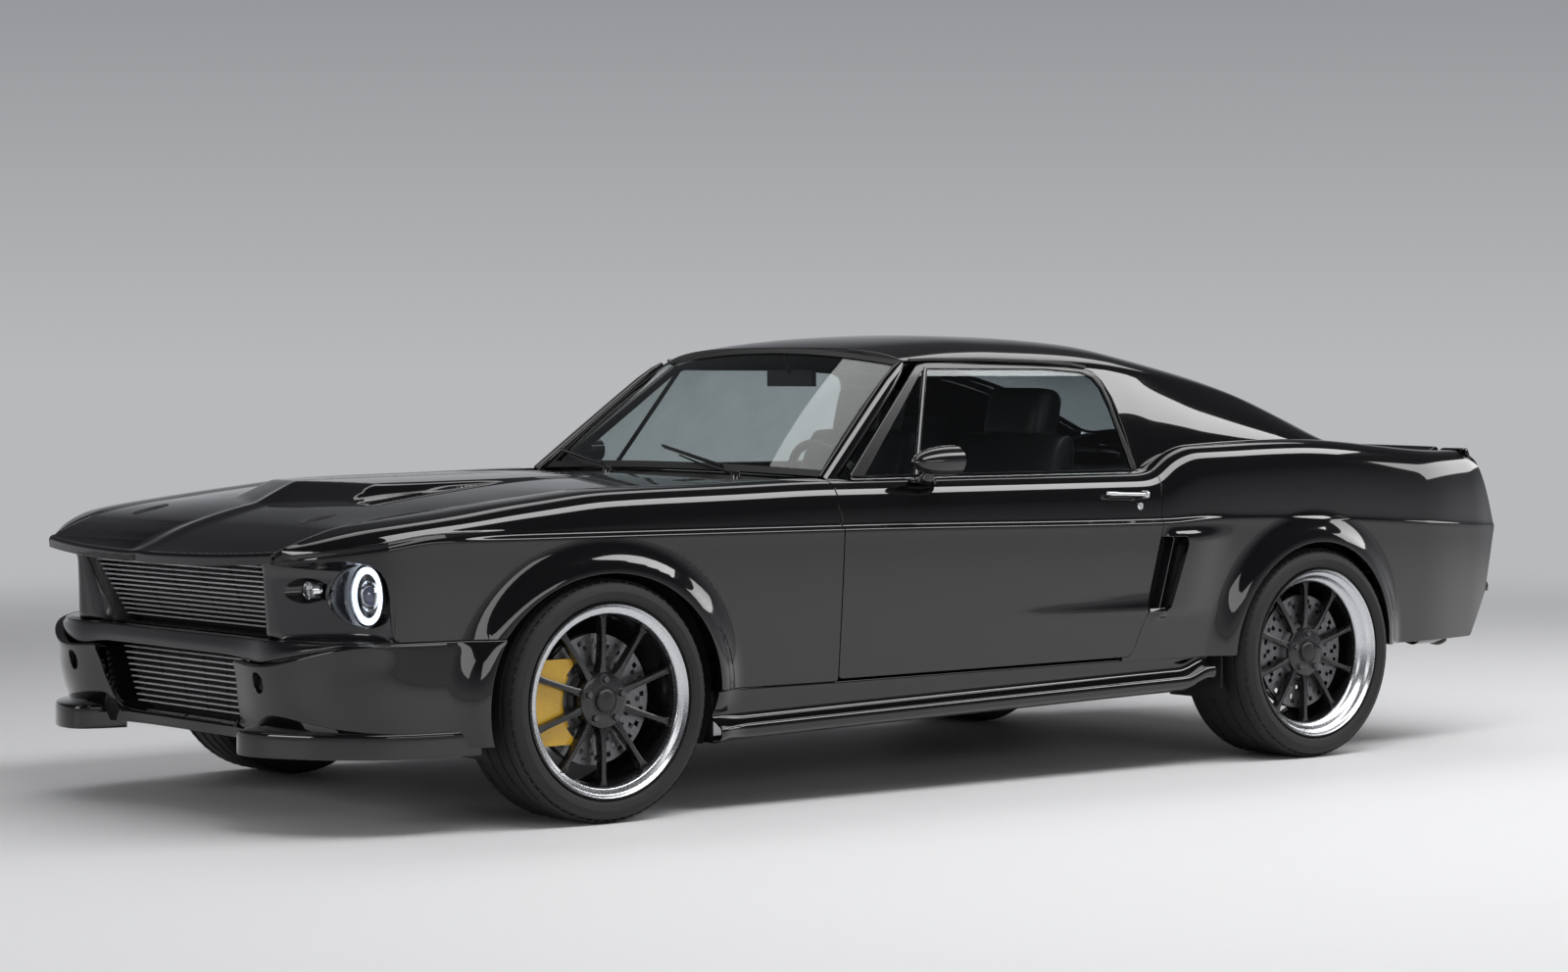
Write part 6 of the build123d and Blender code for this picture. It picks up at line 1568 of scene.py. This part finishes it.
def build_wiper(number, pivot, tip):
    """Pivot cap, cranked arm and a rubber-edged blade that ends at tip."""
    pivot, tip = Vector(pivot), Vector(tip)
    elbow = pivot.lerp(tip, 0.35) + Vector((0.012, 0, 0.004))
    low = pivot.lerp(tip, 0.30) + Vector((-0.036, 0, 0.008))
    blade = [low.lerp(tip + Vector((-0.012, 0, 0.004)), t) for t in (0, 0.25, 0.5, 0.75, 1)]
    wiper = Shape().lathe([(0.0005, 0.020), (0.011, 0.019), (0.014, 0.012), (0.015, -0.012)],
                          tuple(pivot), "z", 24)
    wiper.tube([pivot + Vector((0, 0, 0.012)), elbow, tip.lerp(elbow, 0.45)],
               [0.0075, 0.0055, 0.0035], around=10, squash=0.6)
    for a, b in zip(blade, blade[1:]):
        wiper.tube([a, b], 0.0042, around=8)
    wiper.tube([p + Vector((-0.006, 0, -0.006)) for p in blade], 0.0028, around=6)
    wiper.piece(f"wiper_{number}", TRIM, slot_name="chassis_black", sharp=50)


for hand in HANDS:
    build_mirror(hand)
    build_handle(hand)
    build_latch(hand)
build_wiper(1, (0.640, 0.470, 0.905), (0.520, -0.060, 0.985))
build_wiper(2, (0.655, -0.140, 0.908), (0.512, -0.600, 0.965))

# ---- cabin ----------------------------------------------------------------------------------
SEAT_Y = 0.370                 # middle of a front seat and of the steering wheel
SEAM = 0.010                   # depth of a sewn channel in a seat
FRONT_SEAMS = (-0.62, -0.36, -0.12, 0.12, 0.36, 0.62)    # channels, as shares of the half width
REAR_SEAMS = (-0.75, -0.5, -0.25, 0.0, 0.25, 0.5, 0.75)


def pillow(name, length, broad, thick, channels, place, stands_for=(), nx=34, ny=30):
    """Stuffed pad in its own (x, y) plane with sewn channels; place maps it into the car."""
    pts, faces, top = [], [], {}
    for side in (1, -1):
        for i in range(nx + 1):
            for j in range(ny + 1):
                s, t = 2 * i / nx - 1, 2 * j / ny - 1
                s, t = math.sin(s * math.pi / 2), math.sin(t * math.pi / 2)
                puff = ((1 - abs(s) ** 5) * (1 - abs(t) ** 5)) ** 0.32
                rib = sum(math.exp(-((t - c) / 0.035) ** 2) for c in channels)
                bolster, sewn = 0.0, 0.0
                if side > 0:
                    bolster = 0.25 * thick * step_up(np.array((abs(t) - 0.60) / 0.3))
                    sewn = SEAM * rib * puff
                h = side * thick / 2 * puff - sewn
                wrinkle = 0.0012 * math.sin(23 * s + 5 * t) * math.sin(17 * t - 3 * s) * puff
                pts.append(place(Vector((s * length / 2 * (1 - 0.02 * abs(t) ** 3),
                                         t * broad / 2 * (1 - 0.03 * abs(s) ** 4),
                                         h + float(bolster) * puff + wrinkle))))
                top[side, i, j] = len(pts) - 1
        for i in range(nx):
            for j in range(ny):
                f = (top[side, i, j], top[side, i + 1, j], top[side, i + 1, j + 1],
                     top[side, i, j + 1])
                faces.append(f if side > 0 else f[::-1])
    made = mesh_piece(name, pts, faces, LEATHER, "body", None, stands_for)
    made.data.set_sharp_from_angle(angle=math.radians(70))


def placed(at, tilt, y):
    """Maps pad space into the car: tilt degrees about the cross axis, x along the pad."""
    turn = Matrix.Rotation(math.radians(tilt), 3, "Y")
    return lambda p: Vector((at[0], y, at[1])) + turn @ p


def build_front_seat(name, y):
    """Cushion, backrest and headrest on a frame with two runners."""
    pillow(f"front_cushion_{name}", 0.50, 0.50, 0.150, FRONT_SEAMS,
           placed((-0.125, 0.440), -7, y), stands_for=if_left(name, "front_seats"))
    pillow(f"front_backrest_{name}", 0.60, 0.49, 0.120, FRONT_SEAMS,
           placed((-0.455, 0.735), -108, y))
    pillow(f"front_headrest_{name}", 0.17, 0.26, 0.10, (), placed((-0.560, 1.075), -104, y),
           nx=18, ny=20)
    stand = Shape()
    for dy in (-0.06, 0.06):
        stand.tube([(-0.530, y + dy, 0.98), (-0.552, y + dy, 1.07)], 0.006, around=10)
    for dy in (-0.19, 0.15):
        stand.block((-0.34, y + dy, 0.262), (0.10, y + dy + 0.04, 0.300))
    stand.prism([(-0.36, y - 0.235, 0.30), (0.12, y - 0.235, 0.30), (0.12, y - 0.235, 0.375),
                 (-0.36, y - 0.235, 0.36)], (0, 0.47, 0))
    stand.piece(f"seat_frame_{name}", SATIN, slot_name="chassis_black")


build_front_seat("left", SEAT_Y)
build_front_seat("right", -SEAT_Y)
pillow("rear_cushion", 0.44, 1.14, 0.15, REAR_SEAMS, placed((-0.70, 0.435), -6, 0.0),
       stands_for=["rear_seat"], ny=60)
pillow("rear_backrest", 0.42, 1.14, 0.11, REAR_SEAMS, placed((-0.905, 0.665), -112, 0.0), ny=60)

Shape().rows([[(x, y, z) for y, z in ((-0.690, 0.272), (-0.690, 0.2655), (-0.13, 0.2655),
                                      (-0.115, 0.30), (-0.10, 0.386), (0.10, 0.386),
                                      (0.115, 0.30), (0.13, 0.2655), (0.690, 0.2655),
                                      (0.690, 0.272))]
              for x in lines(-0.865, 0.655, 0.1)]).piece("carpet", CARPET,
                                                         slot_name="chassis_black")

dash = Shape()
profile = [(0.655, 0.838), (0.60, 0.852), (0.50, 0.866), (0.40, 0.872), (0.33, 0.868),
           (0.300, 0.858), (0.285, 0.842), (0.278, 0.815), (0.276, 0.800), (0.284, 0.785),
           (0.300, 0.776), (0.330, 0.760), (0.385, 0.700), (0.400, 0.676), (0.655, 0.672)]
dash.rows([[(x, y, z) for x, z in profile] for y in lines(-0.655, 0.655, 0.1)])
for y in (-0.655, 0.655):
    dash.add([(x, y, z) for x, z in profile], [tuple(range(len(profile)))])
dash.piece("dash_skin", VINYL, stands_for=["dashboard"], slot_name="dash")
Shape().rows([[(x, SEAT_Y + 0.20 * math.cos(a), 0.838 + h * math.sin(a))
               for a in lines(0, math.pi, 0.2)]
              for x, h in ((0.262, 0.052), (0.300, 0.060), (0.40, 0.050), (0.46, 0.034))]).piece(
    "instrument_hood", VINYL, slot_name="dash")
dials, marks = Shape(), Shape()
for y, r in ((0.275, 0.050), (0.465, 0.050), (0.37, 0.026), (0.06, 0.032), (-0.02, 0.032)):
    z = 0.822 if r > 0.04 else 0.812
    dials.lathe([(0.0005, -0.0005), (r, -0.0005), (r + 0.001, -0.006), (r + 0.005, -0.007),
                 (r + 0.006, 0.0)], (0.276, y, z), "x", 40)
    for k in range(11):
        a = math.radians(-45 + 27 * k)
        c, d = math.cos(a), math.sin(a)
        marks.tube([(0.2745, y + r * 0.78 * c, z + r * 0.78 * d),
                    (0.2745, y + r * 0.93 * c, z + r * 0.93 * d)], 0.0011, around=4)
    marks.tube([(0.2740, y, z), (0.2740, y - r * 0.5, z + r * 0.5)], 0.0012, around=4)
dials.piece("dials", DIAL, slot_name="dash")
marks.piece("dial_marks", WHITE_MARK, slot_name="dash")

def build_steering():
    """Padded rim, three flat arms and the column's shroud, tilted towards the driver."""
    centre, wheel_r, grip_r, steps = Vector((0.202, SEAT_Y, 0.841)), 0.168, 0.0135, 64
    tilt = math.radians(22)
    axis, cross = Vector((-math.cos(tilt), 0, math.sin(tilt))), Vector((0, 1, 0))
    upward = cross.cross(axis)

    def outwards(a):
        return cross * math.cos(a) + upward * math.sin(a)

    rings = [[centre + outwards(a) * (wheel_r + grip_r * math.cos(b))
              + axis * grip_r * math.sin(b) for b in round_angles(0.6)]
             for a in (FULL_TURN * k / steps for k in range(steps))]
    Shape().rows(rings + [rings[0]], closed=True).piece(
        "steering_rim", LEATHER, stands_for=["steering_wheel"], slot_name="dash")
    arms = Shape()
    for degrees in (-90, 20, 160):
        out = outwards(math.radians(degrees))
        wide = axis.cross(out)
        arms.prism([centre + out * 0.03 + wide * 0.020 - axis * 0.02,
                    centre + out * 0.16 + wide * 0.012 - axis * 0.004,
                    centre + out * 0.16 - wide * 0.012 - axis * 0.004,
                    centre + out * 0.03 - wide * 0.020 - axis * 0.02], axis * 0.004)
    for r0, a0, r1, a1 in ((0.0, 0.000, 0.036, -0.004), (0.036, -0.004, 0.040, -0.030),
                           (0.040, -0.030, 0.022, -0.120)):
        arms.rows([[centre + outwards(t) * r + axis * s for t in round_angles(0.26)]
                   for r, s in ((r0 + 1e-4, a0), (r1, a1))], closed=True)
    arms.piece("steering_arms", SATIN, slot_name="dash")


build_steering()
shifter = Shape()
for y in (0.0, -0.04):
    shifter.block((0.05, y, 0.386), (0.20, y + 0.04, 0.392))
shifter.tube([(0.10, 0, 0.38), (0.105, 0, 0.47), (0.100, 0, 0.55)], [0.007, 0.006, 0.006])
shifter.lathe([(0.0005, 0.022), (0.014, 0.019), (0.021, 0.006), (0.020, -0.008), (0.010, -0.02),
               (0.0005, -0.022)], (0.100, 0, 0.565), "z", 24)
shifter.piece("shifter", SATIN, slot_name="dash")
Shape().block((0.045, -0.11, 1.165), (0.062, 0.11, 1.215)).tube(
    [(0.060, 0, 1.205), (0.085, 0, 1.262)], 0.007).piece("cabin_mirror", SATIN,
                                                         slot_name="dash")
ceiling = []
for x in lines(-0.90, 0.085, 0.06):
    v = lines(0.30, 0.70, 0.02)
    ceiling.append(roof_skin(np.full_like(v, x), v) * (1, 0.985, 1) - (0, 0, 0.028))
Shape().rows(ceiling).piece("headlining", CARPET, slot_name="dash")
for hand in HANDS:
    trim = Shape()
    trim.rows([[(x, 0.7805 - d, z) for x in lines(-0.60, 0.500, 0.1)]
               for z, d in ((0.37, 0.0), (0.40, 0.004), (0.60, 0.006), (0.72, 0.012),
                            (0.80, 0.010), (0.86, 0.006), (0.885, 0.0))])
    trim.block((-0.30, 0.742, 0.66), (0.10, 0.776, 0.70))
    trim.piece("door_trim", VINYL, f"door_{hand}", side=hand, slot_name="dash")
    Shape().rows([[(x, y, z) for x in lines(-1.16, -0.73, 0.1)]
                  for y, z in ((0.700, 0.30), (0.700, 0.86), (0.690, 0.93), (0.672, 0.985),
                               (0.645, 1.06))]).piece("rear_side_trim", VINYL, side=hand,
                                                      slot_name="dash")
Shape().rows([[(x, y, z) for y in lines(-0.66, 0.66, 0.1)]
              for x, z in ((-0.985, 0.852), (-1.10, 0.858), (-1.40, 0.872),
                           (-1.69, 0.885))]).piece("rear_shelf", CARPET, slot_name="dash")

# ---- parts that keep their own solids -------------------------------------------------------
for node, material in (("floor_pan", CHASSIS), ("power_unit", CAST),
                       ("front_suspension", CHASSIS), ("rear_axle", CHASSIS),
                       ("cowl", CHASSIS), ("knuckle_left", CALIPER), ("knuckle_right", CALIPER)):
    for used_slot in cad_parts[node].material_slots:
        used_slot.material = material

# ---- wheel houses and underside -------------------------------------------------------------
for hand in HANDS:
    for end, wheel_x, near, r in (("front", FRONT_X, 0.440, 0.384),
                                  ("rear", REAR_X, 0.590, 0.362)):
        arc = [(wheel_x + r * math.cos(a), HUB_Z + r * 0.985 * math.sin(a))
               for a in lines(math.radians(-22), math.radians(202), 0.08)]
        house = Shape().rows([[(x, y, z) for x, z in arc] for y in (0.846, near + 0.01, near)])
        if end == "rear":
            house.add([(x, near, z) for x, z in arc], [tuple(range(len(arc)))])
            house.block((wheel_x + r - 0.001, near, 0.235),
                        (wheel_x + r + 0.006, 0.845, 0.330))
        else:
            house.block((wheel_x - r - 0.006, near, 0.195),
                        (wheel_x - r + 0.001, 0.850, 0.330))
        house.piece(f"wheel_house_{end}", CHASSIS, side=hand, slot_name="chassis_black")


# ---- studio ---------------------------------------------------------------------------------
BACK_LOW, BACK_MID, BACK_HIGH = (0.48, 0.485, 0.50), (0.27, 0.275, 0.29), (0.05, 0.051, 0.055)
FLOOR_TONE = (0.78, 0.78, 0.79)
FADE_FROM, FADE_TO = 4.5, 12.0


def seen_directly(nodes, links):
    """1 for camera, mirror and glass rays, 0 for the light that falls on things."""
    rays = add_node(nodes, "LightPath")
    total = rays.outputs["Is Camera Ray"]
    for name in ("Is Glossy Ray", "Is Transmission Ray"):
        join = add_node(nodes, "Math")
        join.operation = "MAXIMUM"
        links.new(total, join.inputs[0])
        links.new(rays.outputs[name], join.inputs[1])
        total = join.outputs[0]
    return total


floor_look = bpy.data.materials.new("studio floor")
floor_look.use_nodes = True
nodes, links = floor_look.node_tree.nodes, floor_look.node_tree.links
matt = nodes["Principled BSDF"]
matt.inputs["Base Color"].default_value = (*FLOOR_TONE, 1)
matt.inputs["Roughness"].default_value = 0.55
matt.inputs["Specular IOR Level"].default_value = 0.25
place = add_node(nodes, "TexCoord")
far = add_node(nodes, "VectorMath")
far.operation = "LENGTH"
links.new(place.outputs["Object"], far.inputs[0])
fade = add_node(nodes, "MapRange", From_Min=FADE_FROM, From_Max=FADE_TO)
fade.interpolation_type = "SMOOTHSTEP"
links.new(far.outputs["Value"], fade.inputs["Value"])
both = add_node(nodes, "Math")
both.operation = "MULTIPLY"
links.new(fade.outputs["Result"], both.inputs[0])
links.new(seen_directly(nodes, links), both.inputs[1])
glow = add_node(nodes, "Emission", Color=(*BACK_LOW, 1))
blend = add_node(nodes, "MixShader")
links.new(both.outputs[0], blend.inputs["Fac"])
links.new(matt.outputs["BSDF"], blend.inputs[1])
links.new(glow.outputs["Emission"], blend.inputs[2])
links.new(blend.outputs["Shader"], nodes["Material Output"].inputs["Surface"])
bpy.ops.mesh.primitive_plane_add(size=80, location=(0, 0, 0))
floor = bpy.context.object
floor.name = "studio_floor"
floor.data.materials.append(floor_look)


def soft_light(name, at, aim, wide, tall, watts):
    """Rectangular studio lamp at a place, aimed at another."""
    lamp = bpy.data.lights.new(name, "AREA")
    lamp.energy = watts
    lamp.shape = "RECTANGLE"
    lamp.size, lamp.size_y = wide, tall
    made = bpy.data.objects.new(name, lamp)
    bpy.context.collection.objects.link(made)
    made.location = at
    made.rotation_euler = (Vector(aim) - Vector(at)).to_track_quat("-Z", "Y").to_euler()


for lamp_row in (("overhead_near", (-2.3, 3.1, 5.4), (-2.3, 2.2, 0), 12.0, 2.0, 430),
                 ("overhead_far", (-1.5, -2.4, 5.4), (-1.5, -1.2, 0), 11.0, 2.2, 110),
                 ("side_strip", (1.5, 8.5, 2.6), (0.5, 0, 0.5), 7.0, 1.4, 70),
                 ("front_fill", (8.5, 0.5, 2.6), (0, 0, 0.6), 3.5, 1.6, 110),
                 ("rear_fill", (-8.0, 2.0, 3.0), (0, 0, 0.6), 4.0, 1.4, 60)):
    soft_light(*lamp_row)

world = bpy.data.worlds.new("studio")
bpy.context.scene.world = world
world.use_nodes = True
nodes, links = world.node_tree.nodes, world.node_tree.links
light = nodes["Background"]
light.inputs["Color"].default_value = (0.92, 0.93, 0.95, 1)
light.inputs["Strength"].default_value = 0.24
place = add_node(nodes, "TexCoord")
split = add_node(nodes, "SeparateXYZ")
links.new(place.outputs["Generated"], split.inputs[0])
ramp = add_node(nodes, "ValToRGB")
set_stops(ramp, (0.0, BACK_LOW), (0.12, BACK_MID), (0.32, BACK_HIGH))
links.new(split.outputs["Z"], ramp.inputs["Fac"])
show = add_node(nodes, "Background")
links.new(ramp.outputs["Color"], show.inputs["Color"])
mix = add_node(nodes, "MixShader")
links.new(seen_directly(nodes, links), mix.inputs["Fac"])
links.new(light.outputs["Background"], mix.inputs[1])
links.new(show.outputs["Background"], mix.inputs[2])
links.new(mix.outputs["Shader"], nodes["World Output"].inputs["Surface"])

# ---- camera ---------------------------------------------------------------------------------
CAMERA_AT = Vector((7.2265, 8.9189, 1.2138))
HEADING, PITCH = -2.246, -0.031
camera_data = bpy.data.cameras.new("camera")
camera_data.lens = 85.0
camera_data.clip_end = 200
camera = bpy.data.objects.new("camera", camera_data)
bpy.context.collection.objects.link(camera)
camera.location = CAMERA_AT
look = Vector((math.cos(HEADING) * math.cos(PITCH), math.sin(HEADING) * math.cos(PITCH),
               math.sin(PITCH)))
camera.rotation_euler = look.to_track_quat("-Z", "Y").to_euler()
bpy.context.scene.camera = camera
bpy.context.scene.view_settings.view_transform = "Standard"
